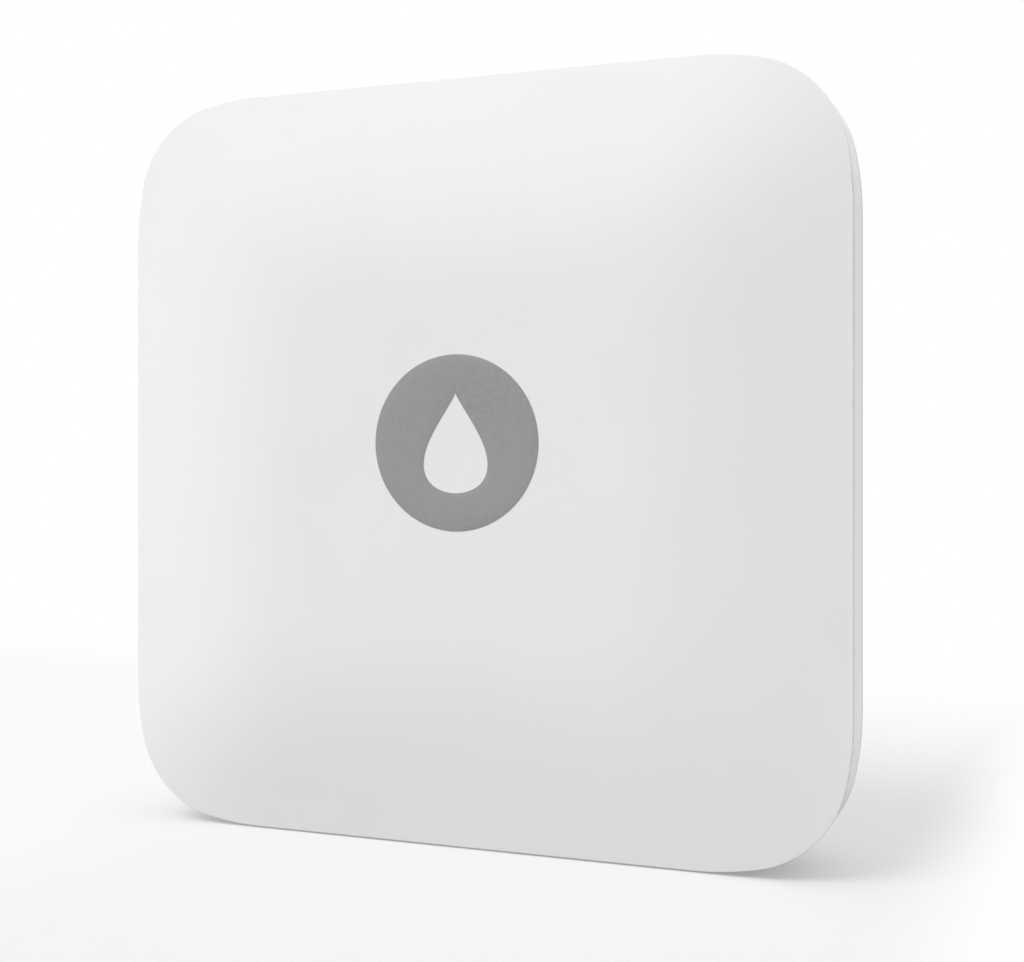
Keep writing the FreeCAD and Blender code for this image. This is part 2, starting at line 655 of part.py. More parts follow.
def switch_plunger():
    low = BOARD_Z - SWITCH_H
    return boss(PLUNGER_R, low - PLUNGER_OUT, low + PLUNGER_IN, BUTTON_X, BUTTON_Y, PIN_SIDES)


save("front_cover", front_cover())
save("cover_gasket", cover_gasket())
save("back_shell", back_shell())
save("battery_door", battery_door())
save("door_seal", door_seal())
for cell_piece, cell_shape in zip(("can", "core", "ring", "cap"), battery()):
    save("battery_" + cell_piece, cell_shape)
save("negative_contact", negative_contact())
save("positive_contact", positive_contact())
save("circuit_board", circuit_board())
save("radio_board", block(RADIO_W, RADIO_L, BOARD_TOP, BOARD_TOP + RADIO_T, RADIO_X, RADIO_Y))
save("radio_chip", radio_chip())
save("radio_shield", shield())
save("radio_antenna", block(ANTENNA_L, ANTENNA_W, BOARD_TOP + RADIO_T,
                            BOARD_TOP + RADIO_T + ANTENNA_H, RADIO_X, ANTENNA_Y))
save("controller_chip", block(CHIP_SIDE, CHIP_SIDE, BOARD_TOP, BOARD_TOP + CHIP_H, CHIP_X, CHIP_Y))
save("small_parts", small_parts())
save("status_led", block(LED_L, LED_W, BOARD_TOP, BOARD_TOP + LED_H, LED_X, LED_Y))
save("light_guide", light_guide())
piezo_plate, piezo_ceramic = piezo()
save("sounder_plate", piezo_plate)
save("sounder_ceramic", piezo_ceramic)
plate_blade = spring_blade(BLADE_L, BOARD_TOP, INSIDE_Z - PIEZO_T)
ceramic_blade = spring_blade(BLADE_L, BOARD_TOP, INSIDE_Z - PIEZO_T - CERAMIC_T)
save("sounder_spring_1", placed(ceramic_blade, 0, PIEZO_Y))
save("sounder_spring_2", placed(plate_blade, (PIEZO_R + CERAMIC_R) / 2, PIEZO_Y, 90))
stud_blade = spring_blade(STUD_BLADE_L, BOARD_Z, BOARD_Z - STUD_BLADE_H)
for number, (stud_x, stud_y) in enumerate(stud_places(), 1):
    save("water_stud_%d" % number, water_stud(stud_x, stud_y))
    save("stud_seal_%d" % number, stud_seal(stud_x, stud_y))
    save("stud_blade_%d" % number, placed(stud_blade, stud_x, stud_y))
save("push_nuts", push_nuts())
save("housing_screws", housing_screws())
save("pairing_button", pairing_button())
save("button_seal", button_seal())
save("switch_body", switch_body())
save("switch_plunger", switch_plunger())
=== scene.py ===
import bmesh
import bpy
import numpy as np
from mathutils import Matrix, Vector


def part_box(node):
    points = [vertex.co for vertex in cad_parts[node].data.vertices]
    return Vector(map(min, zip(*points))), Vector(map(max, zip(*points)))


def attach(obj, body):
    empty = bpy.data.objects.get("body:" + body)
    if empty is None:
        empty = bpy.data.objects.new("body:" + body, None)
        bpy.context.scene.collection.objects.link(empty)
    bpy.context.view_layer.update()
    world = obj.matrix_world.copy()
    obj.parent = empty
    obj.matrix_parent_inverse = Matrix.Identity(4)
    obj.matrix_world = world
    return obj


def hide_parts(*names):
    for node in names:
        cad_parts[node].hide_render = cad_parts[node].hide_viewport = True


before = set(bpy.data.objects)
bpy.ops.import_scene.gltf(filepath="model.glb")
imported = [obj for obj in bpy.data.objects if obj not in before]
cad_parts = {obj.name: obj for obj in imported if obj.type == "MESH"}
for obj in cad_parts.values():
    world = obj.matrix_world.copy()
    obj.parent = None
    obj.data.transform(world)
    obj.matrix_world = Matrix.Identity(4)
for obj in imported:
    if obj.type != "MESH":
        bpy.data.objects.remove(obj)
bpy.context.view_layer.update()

# Front cover: the domed face of the sensor, one moulding in white ABS with a satin skin.
# Its skirt drops inside the back shell, four bosses take the screws from behind, and a fine
# open line is left between the two mouldings.
MM = 0.001
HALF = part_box("front_cover")[1].x       # half the side of the housing
MIDDLE_Z = (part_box("front_cover")[0].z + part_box("front_cover")[1].z) / 2
FRONT_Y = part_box("front_cover")[0].y    # top of the dome, -Y is the front
CORNER_R = 8.85 * MM                    # tight middle of a corner
EASE_R = 25.6 * MM                      # gentle arcs on both sides of it
EASE_TURN = np.radians(12.0)
SIDE_POINTS, EASE_POINTS, TIGHT_POINTS = 11, 9, 29
DOME_RISE = 1.5 * MM
FLAT_HALF = 14.8 * MM                   # flat middle of the dome
BEND_EASE = 1.6                         # how much of the bend lies next to the flat
SLOPE_WIDTH = 3.9 * MM                  # steady slope along the edge
COVER_LIP = 0.5 * MM                    # upright edge below the dome
EDGE_ROUND = 0.12 * MM                  # moulded edges are never quite sharp
SEAM_ROUND = 0.05 * MM                  # but nearly so along the open line
SEAM_HALF = 0.12 * MM                   # about half of the open line's width
COVER_WALL = 1.6 * MM
PAINTED_SHADE_GREY = "#BDBDBD"                        # grey painted as shade along a seam
PAINTED_SHADE_WIDTH = 0.3 * MM                   # width of the painted shade, a little past the open line on both sides
ABS_GRAIN = 0.35 * MM                   # as drawn; the real one is finer
INK = 0.02 * MM                         # thickness of the print that the dome leaves room for
SKIRT_IN = 2.55 * MM                    # from the side to the skirt
SKIRT_WALL = 1.0 * MM
SKIRT_DEPTH = 1.3 * MM
SKIRT_FLAT = 1.0 * MM                   # a row of points on the flat between side and skirt
POCKET_HALF = 17.8 * MM                 # thin middle that takes the sounder
RIB_DROP = 0.6 * MM
SAME_POINT = 0.0001 * MM                # nearer points are one


def housing_outline():
    """Outline of the housing and its outward normals, as two arrays of (x, z) from the middle.

    Each quarter is a straight side and then a gentle, a tight and a gentle arc. A point on an
    arc is the arc's centre plus its radius times the normal."""
    lead = EASE_TURN
    reach = (EASE_R * (np.sin(lead) + 1 - np.cos(lead))
             + CORNER_R * (np.cos(lead) - np.sin(lead)))
    straight = HALF - reach
    turn = np.concatenate([np.linspace(0, lead, EASE_POINTS),
                           np.linspace(lead, np.pi / 2 - lead, TIGHT_POINTS)[1:],
                           np.linspace(np.pi / 2 - lead, np.pi / 2, EASE_POINTS)[1:]])
    gentle = np.array([HALF - EASE_R, straight])
    tight = gentle + (EASE_R - CORNER_R) * np.array([np.cos(lead), np.sin(lead)])
    first, last = turn <= lead, turn > np.pi / 2 - lead
    centre = np.where(first[:, None], gentle, np.where(last[:, None], gentle[::-1], tight))
    radius = np.where(first | last, EASE_R, CORNER_R)
    normal = np.stack([np.cos(turn), np.sin(turn)], 1)
    corner = centre + radius[:, None] * normal
    along = np.linspace(-straight, straight, SIDE_POINTS + 2)[1:-1]
    points = np.concatenate([np.stack([np.full(SIDE_POINTS, HALF), along], 1), corner])
    normals = np.concatenate([np.tile([1.0, 0.0], (SIDE_POINTS, 1)), normal])
    quarter = np.array([[0, 1], [-1, 0]])
    return (np.concatenate([points @ np.linalg.matrix_power(quarter, k) for k in range(4)]),
            np.concatenate([normals @ np.linalg.matrix_power(quarter, k) for k in range(4)]))


def rounded(corners, steps=6):
    """Profile through (a, b, radius) corners, each turned into an arc that touches both sides.

    The arc's centre lies on the corner's bisector, radius / sin(half the angle) away."""
    corners = np.array(corners, float)
    places = []
    for i, (a, b, radius) in enumerate(corners):
        here = np.array([a, b])
        if radius == 0 or i in (0, len(corners) - 1):
            places.append(here[None])
            continue
        back, on = corners[i - 1, :2] - here, corners[i + 1, :2] - here
        back, on = back / np.hypot(*back), on / np.hypot(*on)
        half = np.arccos(np.clip(back @ on, -1, 1)) / 2
        centre = here + (back + on) / np.hypot(*(back + on)) * radius / np.sin(half)
        start = here + back * radius / np.tan(half) - centre
        end = here + on * radius / np.tan(half) - centre
        share, span = np.linspace(0, 1, steps)[:, None], np.pi - 2 * half
        arc = start * np.sin((1 - share) * span) + end * np.sin(share * span)
        places.append(centre + arc / np.sin(span))
    return np.concatenate(places)


def ring_faces(rows, columns):
    """Quads between neighbouring rings, as an array of four indices, the last column to the first."""
    row, column = np.meshgrid(np.arange(rows - 1), np.arange(columns), indexing="ij")
    after = (column + 1) % columns
    return np.stack([row * columns + column, row * columns + after,
                     (row + 1) * columns + after, (row + 1) * columns + column], -1).reshape(-1, 4)


def in_scene(name, points, faces):
    """New piece of these points and faces."""
    mesh = bpy.data.meshes.new(name)
    mesh.from_pydata(points.tolist(), [], faces)
    piece = bpy.data.objects.new(name, mesh)
    bpy.context.scene.collection.objects.link(piece)
    return piece


def surface(name, rings):
    """Closed piece through rings of points (rows, columns, 3); each end ring is fanned to its middle.

    The UV map has the share of a turn across and the way along the profile, in metres, up."""
    rows, columns = rings.shape[:2]
    ends = np.stack([rings[0].mean(0), rings[-1].mean(0)])
    column = np.arange(columns)
    after = (column + 1) % columns
    first = np.stack([np.full(columns, rows * columns), after, column], 1)
    base = (rows - 1) * columns
    last = np.stack([np.full(columns, rows * columns + 1), base + column, base + after], 1)
    piece = in_scene(name, np.concatenate([rings.reshape(-1, 3), ends]),
                     ring_faces(rows, columns).tolist() + first.tolist() + last.tolist())
    steps = np.linalg.norm(np.diff(rings[:, 0], axis=0), axis=1)
    lengths = np.concatenate([[0], np.cumsum(steps)])
    row = np.repeat(np.arange(rows - 1), columns)
    at = np.tile(column, rows - 1)
    across = np.stack([at, at + 1, at + 1, at], 1) / columns
    along = lengths[np.stack([row, row, row + 1, row + 1], 1)]
    fan = np.stack([column + 0.5, column + 1, column], 1) / columns
    fan_last = np.stack([column + 0.5, column, column + 1], 1) / columns
    to_middle = np.linalg.norm(rings[[0, -1], 0] - ends, axis=1)
    fan_up = np.tile([lengths[0] - to_middle[0], lengths[0], lengths[0]], (columns, 1))
    fan_up_last = np.tile([lengths[-1] + to_middle[1], lengths[-1], lengths[-1]], (columns, 1))
    u = np.concatenate([across.ravel(), fan.ravel(), fan_last.ravel()])
    v = np.concatenate([along.ravel(), fan_up.ravel(), fan_up_last.ravel()])
    layer = piece.data.uv_layers.new(name="turned")
    layer.data.foreach_set("uv", np.stack([u, v], 1).astype(np.float32).ravel())
    face_outwards(piece)
    return piece


def face_outwards(piece):
    """Merges doubles and turns every face outwards, which a closed surface allows."""
    work = bmesh.new()
    work.from_mesh(piece.data)
    bmesh.ops.remove_doubles(work, verts=work.verts, dist=SAME_POINT)
    bmesh.ops.recalc_face_normals(work, faces=work.faces)
    work.to_mesh(piece.data)
    work.free()


def smooth(piece, crease=35):
    """Smooth shading with edges sharper than crease degrees kept, and flats kept flat."""
    piece.data.shade_smooth()
    piece.data.set_sharp_from_angle(angle=np.radians(crease))
    flats = piece.modifiers.new("flats", "WEIGHTED_NORMAL")
    flats.keep_sharp = True
    flats.weight = 100


def carried(name, profile):
    """Piece whose profile of (scale, inset, y) rows goes once round the housing outline.

    Each row is the outline drawn smaller by scale about the middle, then moved in by inset."""
    points, normals = housing_outline()
    scale, inset, y = np.array(profile).T
    flat = scale[:, None, None] * points - inset[:, None, None] * normals
    rings = np.empty((len(y), len(points), 3))
    rings[:, :, 0] = flat[:, :, 0]
    rings[:, :, 1] = y[:, None]
    rings[:, :, 2] = flat[:, :, 1] + MIDDLE_Z
    return surface(name, rings)


def dome_y(u):
    """Front of the dome at u from the middle: flat, then a bend that eases out, then a steady slope.

    Across the bend the slope is the full one times 1 - (1 - t)^BEND_EASE."""
    bend = HALF - SLOPE_WIDTH - FLAT_HALF
    whole = BEND_EASE + 1
    t = np.clip((u - FLAT_HALF) / bend, 0, 1)
    full = DOME_RISE / (bend * (1 - 1 / whole) + SLOPE_WIDTH)
    sunk = bend * (t - (1 - (1 - t) ** whole) / whole) + np.clip(u - FLAT_HALF - bend, 0, None)
    return FRONT_Y + INK + full * sunk


def cover_profile():
    """Rows from the middle of the front, over the dome and its lip, to the middle of the inside."""
    lower = FRONT_Y + DOME_RISE + COVER_LIP
    side = 2 * SEAM_ROUND               # the dome's last row stays clear of the rounded lip
    u = np.concatenate([np.linspace(0.04, 0.9, 8) * FLAT_HALF,
                        np.linspace(FLAT_HALF, HALF - SLOPE_WIDTH, 24),
                        np.linspace(HALF - SLOPE_WIDTH, HALF - side, 6)[1:]])
    dome = [(s / HALF, 0, y) for s, y in zip(u, dome_y(u))]
    edge = rounded([(side, dome_y(HALF - side), 0), (0, dome_y(HALF), SEAM_ROUND),
                    (0, lower, SEAM_ROUND), (SKIRT_IN, lower, 0)], 7)[1:-1]
    inner = SKIRT_IN + SKIRT_WALL
    skirt = rounded([(SKIRT_FLAT, lower, 0), (SKIRT_IN, lower, 0),
                     (SKIRT_IN, lower + SKIRT_DEPTH, EDGE_ROUND),
                     (inner, lower + SKIRT_DEPTH, EDGE_ROUND), (inner, lower, 0)], 4)
    rows = dome + [(1, inset, y) for inset, y in np.concatenate([edge, skirt])]
    pocket = POCKET_HALF / HALF
    frame_rib = (POCKET_HALF + SKIRT_WALL) / HALF
    inside = FRONT_Y + COVER_WALL
    for scale, y in ((frame_rib, lower), (frame_rib, lower + RIB_DROP), (pocket, lower + RIB_DROP),
                     (pocket, inside), (pocket / 2, inside)):
        rows.append((scale, 0, y))
    return rows


def linear(colour):
    """Linear RGBA of an sRGB hex colour."""
    rgb = np.array([int(colour[i:i + 2], 16) for i in (1, 3, 5)]) / 255
    return (*np.where(rgb <= 0.04045, rgb / 12.92, ((rgb + 0.055) / 1.055) ** 2.4).tolist(), 1.0)


def add(tree, kind, inputs=None, **settings):
    """New node with its settings; each input is given a value, or linked if it is a socket."""
    node = tree.nodes.new(kind)
    for setting, value in settings.items():
        setattr(node, setting, value)
    for socket, value in (inputs or {}).items():
        if isinstance(value, bpy.types.NodeSocket):
            tree.links.new(value, node.inputs[socket])
        else:
            node.inputs[socket].default_value = value
    return node


def start_material(name):
    """Empty node material, its tree and the place on the object, in metres."""
    material = bpy.data.materials.new(name)
    material.use_nodes = True
    tree = material.node_tree
    tree.nodes.clear()
    return material, tree, add(tree, "ShaderNodeTexCoord").outputs["Object"]


def tones(tree, factor, *stops):
    """Colour ramp through (place, hex colour) stops."""
    ramp = add(tree, "ShaderNodeValToRGB", {"Fac": factor})
    while len(ramp.color_ramp.elements) < len(stops):
        ramp.color_ramp.elements.new(0.5)
    for element, (place, colour) in zip(ramp.color_ramp.elements, stops):
        element.position = place
        element.color = linear(colour)
    return ramp.outputs["Color"]


def end_material(tree, shader_inputs):
    """Principled shader with these inputs, on the material's output."""
    shader = add(tree, "ShaderNodeBsdfPrincipled", shader_inputs)
    add(tree, "ShaderNodeOutputMaterial", {"Surface": shader.outputs["BSDF"]})


def moulded(name, dark, light, roughness, grain, depth, lines=()):
    """Injection-moulded plastic: faint clouds of tone where the melt flowed, and a fine grain.

    Each of the lines is a level in Y where a band of grey is painted in as shade, along a seam or a
    mould's edge."""
    material, tree, place = start_material(name)
    clouds = add(tree, "ShaderNodeTexNoise", {"Vector": place, "Scale": 1 / (14 * MM), "Detail": 2.0})
    sparks = add(tree, "ShaderNodeTexNoise", {"Vector": place, "Scale": 1 / grain, "Detail": 3.0,
                                              "Roughness": 0.6})
    colour = tones(tree, clouds.outputs["Fac"], (0.3, dark), (0.7, light))
    # Painted shade: a grey band is mixed into the colour at each line, standing in for the shadow in the
    # seam.
    for level in lines:
        y = add(tree, "ShaderNodeSeparateXYZ", {"Vector": place}).outputs["Y"]
        near = add(tree, "ShaderNodeMath", {0: y, 1: level, 2: PAINTED_SHADE_WIDTH / 2},
                   operation="COMPARE").outputs["Value"]
        colour = add(tree, "ShaderNodeMix", {"Factor": near, 6: colour, 7: linear(PAINTED_SHADE_GREY)},
                     data_type="RGBA").outputs[2]
    gloss = add(tree, "ShaderNodeMapRange", {"Value": sparks.outputs["Fac"], "From Min": 0.3,
                                             "From Max": 0.7, "To Min": roughness - 0.03,
                                             "To Max": roughness + 0.03})
    bump = add(tree, "ShaderNodeBump", {"Height": sparks.outputs["Fac"], "Distance": depth,
                                        "Strength": 1.0})
    end_material(tree, {"Base Color": colour, "Roughness": gloss.outputs["Result"],
                        "Normal": bump.outputs["Normal"], "IOR": 1.52})
    return material


def dress(piece, material, body, slot, *nodes):
    """Gives a new piece its material and its body, and hides the CAD nodes that it stands for. The slot
    is not used.
    """
    piece.data.materials.clear()
    piece.data.materials.append(material)
    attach(piece, body)
    if nodes:
        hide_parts(*nodes)


cover = carried("front_cover_look", cover_profile())
# White ABS from a spark-eroded mould: even and satin, with a grain of about 0.2 mm that only
# takes the edge off reflections. Drawn at 0.35 mm, because the real grain is under a pixel.
SEAM_Y = FRONT_Y + DOME_RISE + COVER_LIP + SEAM_HALF
# A line of painted shade runs along the open line, at SEAM_Y.
satin_abs = moulded("satin_white_abs", "#F0F0F0", "#F2F2F2", 0.46, ABS_GRAIN, 0.0012 * MM, [SEAM_Y])
dress(cover, satin_abs, "housing", "white_cover", "front_cover")

# Mark on the face: one pass of grey ink, pad-printed on the flat of the dome, with a plain
# water drop left open in it.
MARK_R = 7.4 * MM
MARK_Z = MIDDLE_Z + 1.6 * MM            # it sits a little above the middle
DROP_TALL = 8.4 * MM
DROP_WIDE = 5.8 * MM


def printed_disc():
    """Flat ring from a drop-shaped window out to a circle, as thick as the ink.

    The drop is (sin t sin^1.5(t/2), cos t), with its point at the top; the ring blends to the
    circle along each ray, and a small step at both edges is the ink's own thickness."""
    t = np.linspace(0, 2 * np.pi, 240, endpoint=False)
    swell = np.sin(t) * np.sin(t / 2) ** 1.5
    drop = np.stack([swell / np.abs(swell).max() * DROP_WIDE / 2, np.cos(t) * DROP_TALL / 2], 1)
    circle = MARK_R * np.stack([np.sin(t), np.cos(t)], 1)
    blend = np.array([0, 0, 0.01, 0.25, 0.5, 0.75, 0.99, 1, 1, 0.5, 0])[:, None, None]
    y = FRONT_Y + INK * np.array([1.5, 0.3, 0, 0, 0, 0, 0, 0.3, 1.5, 1.5, 1.5])
    flat = (1 - blend) * drop + blend * circle
    rings = np.empty((len(y), len(t), 3))
    rings[:, :, 0] = flat[:, :, 0]
    rings[:, :, 1] = y[:, None]
    rings[:, :, 2] = flat[:, :, 1] + MARK_Z
    return rings


def tube_of(name, rings):
    """Closed band: like surface, but the last ring joins the first in place of two end fans."""
    rows, columns = rings.shape[:2]
    quads = ring_faces(rows + 1, columns) % (rows * columns)
    piece = in_scene(name, rings.reshape(-1, 3), quads.tolist())
    face_outwards(piece)
    return piece


def printing_ink():
    """Pad-printing ink: mid grey, a touch glossier than the plastic, with a fine stipple where the
    pad lifted off."""
    material, tree, place = start_material("pad_printed_grey_ink")
    stipple = add(tree, "ShaderNodeTexNoise", {"Vector": place, "Scale": 1 / (0.5 * MM), "Detail": 3.0})
    wash = add(tree, "ShaderNodeTexNoise", {"Vector": place, "Scale": 1 / (9 * MM), "Detail": 1.0})
    both = add(tree, "ShaderNodeMath", {0: stipple.outputs["Fac"], 1: wash.outputs["Fac"]},
               operation="ADD").outputs["Value"]
    bump = add(tree, "ShaderNodeBump", {"Height": stipple.outputs["Fac"], "Distance": 0.001 * MM})
    end_material(tree, {"Base Color": tones(tree, both, (0.7, "#939393"), (1.3, "#9A9A99")),
                        "Roughness": 0.38, "Normal": bump.outputs["Normal"], "IOR": 1.5})
    return material


mark = tube_of("face_mark", printed_disc())
smooth(mark, 60)
dress(mark, printing_ink(), "housing", "white_cover")

# Back shell: the deep tray that everything else is built into, moulded in the same white ABS.
# Its straight side band carries the sensor when it stands on edge, and its back is rounded off
# to a flat with seats for the door, screws, studs and button.
BACK_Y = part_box("back_shell")[1].y      # flat of the back
RIM_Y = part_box("back_shell")[0].y       # edge along the open line
BAND = 4.2 * MM
WALL = 2.4 * MM
BACK_WALL = 1.6 * MM
TAPER_INSET = 4.5 * MM
TAPER_START = np.radians(25.0)          # angle on its ellipse where it leaves the flat
TAPER_SOFT = 1.6 * MM                   # rounding where the taper meets the flat
CORNER_INSIDE = 3.0 * MM                # rounding of the wall inside, and where it meets the floor
FLOOR_INSIDE = 1.0 * MM
FLOOR_FLAT = 1.5 * MM                   # a row of points on the floor, past that rounding
GASKET_STEP = 0.9 * MM
GASKET_SUNK = 0.8 * MM
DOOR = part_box("battery_door")
DOOR_R = (DOOR[1].x - DOOR[0].x) / 2
PLAY = 0.15 * MM
LEDGE = 1.7 * MM                        # depth of the door's seat
DOOR_BLOCK_R = 18.75 * MM
DOOR_BLOCK_H = 5.5 * MM
BORE_R = 13.75 * MM                     # for the door's skirt
BORE_END = 3.9 * MM
WELL_R = 12.9 * MM                      # for the cell
SCREW_AT = 24.0 * MM
COUNTERBORE_R = 2.05 * MM
HEAD_SUNK = 1.8 * MM
TOWER_R = 3.0 * MM
TOWER_H = 4.4 * MM
SCREW_HOLE_R = 1.15 * MM
STUD_SEAT_R = 3.05 * MM
STUD_SEAT = 1.3 * MM
STUD_BOSS_R = 3.4 * MM
STUD_BOSS_H = 3.6 * MM
STUD_HOLE_R = 1.22 * MM
POST_AT = (25.0 * MM, 13.0 * MM)
POST_R = 1.6 * MM
POST_H = 7.6 * MM
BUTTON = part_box("pairing_button")
BUTTON_AT = ((BUTTON[0].x + BUTTON[1].x) / 2, (BUTTON[0].z + BUTTON[1].z) / 2)
BUTTON_DISH_R = 3.2 * MM
BUTTON_DISH = 0.3 * MM
BUTTON_HOLE_R = 2.05 * MM
PROUD = 0.4 * MM                        # how far a cutter stands out of the surface it cuts
MOUTH_ROUND = 2.2 * EDGE_ROUND          # soft edge round the mouth of a seat
SLIVER = 0.0005 * MM                    # shorter edges are left over from a cut and closed up
POST_TURN = 0.02                        # radians that keep a post's corners off the floor's edges
SIGN_DEEP = 0.25 * MM                   # signs for the door's two positions
SIGN_AT = 19.3 * MM                     # from the middle, just outside the door
LOCKED, RELEASED = np.radians(90), np.radians(30)
DOT_R, RING_R, RING_HOLE_R = 0.45 * MM, 0.85 * MM, 0.5 * MM


def shell_profile():
    """Rows from the middle of the back, round the outside, over the rim and down the inside.

    The taper is part of an ellipse: inset falls as 1 - sin a and depth as cos a, for a from the
    angle at which it leaves the flat to a right angle at the band."""
    a = np.linspace(TAPER_START, np.pi / 2, 26)
    deep = BACK_Y - RIM_Y - BAND
    inset = TAPER_INSET * (1 - np.sin(a)) / (1 - np.sin(TAPER_START))
    y = BACK_Y - deep * (1 - np.cos(a) / np.cos(TAPER_START))
    first = 6                           # the taper's own points start after the soft edge
    soft = rounded([(TAPER_INSET + TAPER_SOFT, BACK_Y, 0), (inset[0], y[0], TAPER_SOFT),
                    (inset[first], y[first], 0)], 8)
    rim = rounded([(0, RIM_Y + BAND, 0), (0, RIM_Y, SEAM_ROUND), (WALL - GASKET_STEP, RIM_Y, 0),
                   (WALL - GASKET_STEP, RIM_Y + GASKET_SUNK, 0), (WALL, RIM_Y + GASKET_SUNK, 0),
                   (WALL, BACK_Y - deep, CORNER_INSIDE),
                   (WALL + TAPER_INSET, BACK_Y - BACK_WALL, FLOOR_INSIDE),
                   (WALL + TAPER_INSET + FLOOR_FLAT, BACK_Y - BACK_WALL, 0)])
    outside = np.concatenate([soft[:-1], np.stack([inset, y], 1)[first:-1]])
    return [(1, inset, y) for inset, y in np.concatenate([outside, rim])]


def turned(name, profile, x=0.0, z=MIDDLE_Z, steps=96, turn=0.0):
    """Piece turned about an axis along Y: each (radius, y) of the profile goes round once."""
    radius, y = np.array(profile).T
    angle = np.linspace(0, 2 * np.pi, steps, endpoint=False) + turn
    rings = np.empty((len(y), steps, 3))
    rings[:, :, 0] = x + radius[:, None] * np.cos(angle)
    rings[:, :, 1] = y[:, None]
    rings[:, :, 2] = z + radius[:, None] * np.sin(angle)
    return surface(name, rings)


def joined(pieces):
    """One piece of several that don't touch."""
    work = bmesh.new()
    for piece in pieces:
        work.from_mesh(piece.data)
        if piece is not pieces[0]:
            bpy.data.objects.remove(piece)
    work.to_mesh(pieces[0].data)
    work.free()
    return pieces[0]


def combined(piece, other, operation):
    """Piece with other joined to it or cut out of it, as a plain mesh without slivers."""
    step = piece.modifiers.new(operation, "BOOLEAN")
    step.operation = operation
    step.solver = "EXACT"
    step.object = other
    result = bpy.data.meshes.new_from_object(piece.evaluated_get(bpy.context.evaluated_depsgraph_get()))
    piece.modifiers.remove(step)
    piece.data = result
    bpy.data.objects.remove(other)
    work = bmesh.new()
    work.from_mesh(result)
    bmesh.ops.remove_doubles(work, verts=work.verts, dist=SLIVER)
    bmesh.ops.dissolve_degenerate(work, edges=work.edges, dist=SLIVER)
    work.to_mesh(result)
    work.free()


def post(radius, foot, end, x, z, steps=48):
    """Round post from inside a wall, at foot, to its softly rounded end."""
    profile = rounded([(radius / 2, foot, 0), (radius, foot, 0), (radius, end, EDGE_ROUND),
                       (radius / 2, end, 0)], 4)
    return turned("post", profile, x, z, steps, POST_TURN)


def sunk_sign(radius, reach, angle, steps=32, turn=0.0):
    """Cutter for a small sunk sign at reach and angle from the door's axis.

    It is round or has as many corners as steps, the first of them turned by turn."""
    profile = [(radius / 2, BACK_Y + PROUD), (radius, BACK_Y + PROUD),
               (radius, BACK_Y - SIGN_DEEP), (radius / 2, BACK_Y - SIGN_DEEP)]
    x, z = reach * np.cos(angle), MIDDLE_Z + reach * np.sin(angle)
    return turned("sign", profile, x, z, steps, turn)


def seat(steps_down, x, z, steps=64):
    """Cutter for a stepped round seat from (radius, depth) steps, its mouth flared by a soft edge."""
    radius, depth = steps_down[0]
    corners = [(radius / 2, BACK_Y + PROUD, 0), (radius + EDGE_ROUND + PROUD, BACK_Y + PROUD, 0),
               (radius, BACK_Y - EDGE_ROUND, MOUTH_ROUND), (radius, BACK_Y - depth, 0)]
    for radius, next_depth in steps_down[1:]:
        corners += [(radius, BACK_Y - depth, 0), (radius, BACK_Y - next_depth, 0)]
        depth = next_depth
    corners.append((radius / 2, BACK_Y - depth, 0))
    return turned("seat", rounded(corners, 5), x, z, steps)


def crosswise(distance):
    """Four places at a distance from the middle, left, right, below and above."""
    return [(-distance, MIDDLE_Z), (distance, MIDDLE_Z),
            (0.0, MIDDLE_Z - distance), (0.0, MIDDLE_Z + distance)]


def post_places():
    """Four places where posts of both mouldings hold the board between them."""
    return [(x * POST_AT[0], MIDDLE_Z + z * POST_AT[1]) for x in (-1, 1) for z in (-1, 1)]


def stud_boxes():
    """Corners of the four water studs' boxes."""
    return [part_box("water_stud_%d" % number) for number in (1, 2, 3, 4)]


def middle_of(box):
    """Middle of a box as (x, z)."""
    return (box[0].x + box[1].x) / 2, (box[0].z + box[1].z) / 2


shell = carried("back_shell_look", shell_profile())
through = BACK_WALL + PROUD
foot = BACK_Y - BACK_WALL / 2
posts = [post(DOOR_BLOCK_R, foot, BACK_Y - DOOR_BLOCK_H, 0, MIDDLE_Z, 128)]
posts += [post(TOWER_R, foot, BACK_Y - TOWER_H, *place) for place in crosswise(SCREW_AT)]
posts += [post(STUD_BOSS_R, foot, BACK_Y - STUD_BOSS_H, *middle_of(box)) for box in stud_boxes()]
posts += [post(POST_R, foot, BACK_Y - POST_H, *place) for place in post_places()]
combined(shell, joined(posts), "UNION")
seats = [seat([(DOOR_R + PLAY, LEDGE), (BORE_R, BORE_END), (WELL_R, DOOR_BLOCK_H + PROUD)],
              0, MIDDLE_Z, 160)]
seats += [seat([(COUNTERBORE_R, HEAD_SUNK), (SCREW_HOLE_R, TOWER_H + PROUD)], *place)
          for place in crosswise(SCREW_AT)]
seats += [seat([(STUD_SEAT_R, STUD_SEAT), (STUD_HOLE_R, STUD_BOSS_H + PROUD)], *middle_of(box))
          for box in stud_boxes()]
seats.append(seat([(BUTTON_DISH_R, BUTTON_DISH), (BUTTON_HOLE_R, through)], *BUTTON_AT))
# A dot shows where the door is locked, a larger ring where it is released.
seats.append(sunk_sign(DOT_R, SIGN_AT, LOCKED))
combined(shell, joined(seats), "DIFFERENCE")
ring = sunk_sign(RING_R, SIGN_AT, RELEASED)
combined(ring, sunk_sign(RING_HOLE_R, SIGN_AT, RELEASED), "DIFFERENCE")
combined(shell, ring, "DIFFERENCE")
smooth(shell)
# The same ABS as the cover, from the other half of the mould and a shade less bright.
# Lines of painted shade run along the open line and where the band meets the rounded back.
shell_abs = moulded("satin_shell_abs", "#EEEEEE", "#F1F1F1", 0.5, ABS_GRAIN, 0.0016 * MM,
                    [SEAM_Y, RIM_Y + BAND])
dress(shell, shell_abs, "housing", "white_shell", "back_shell")

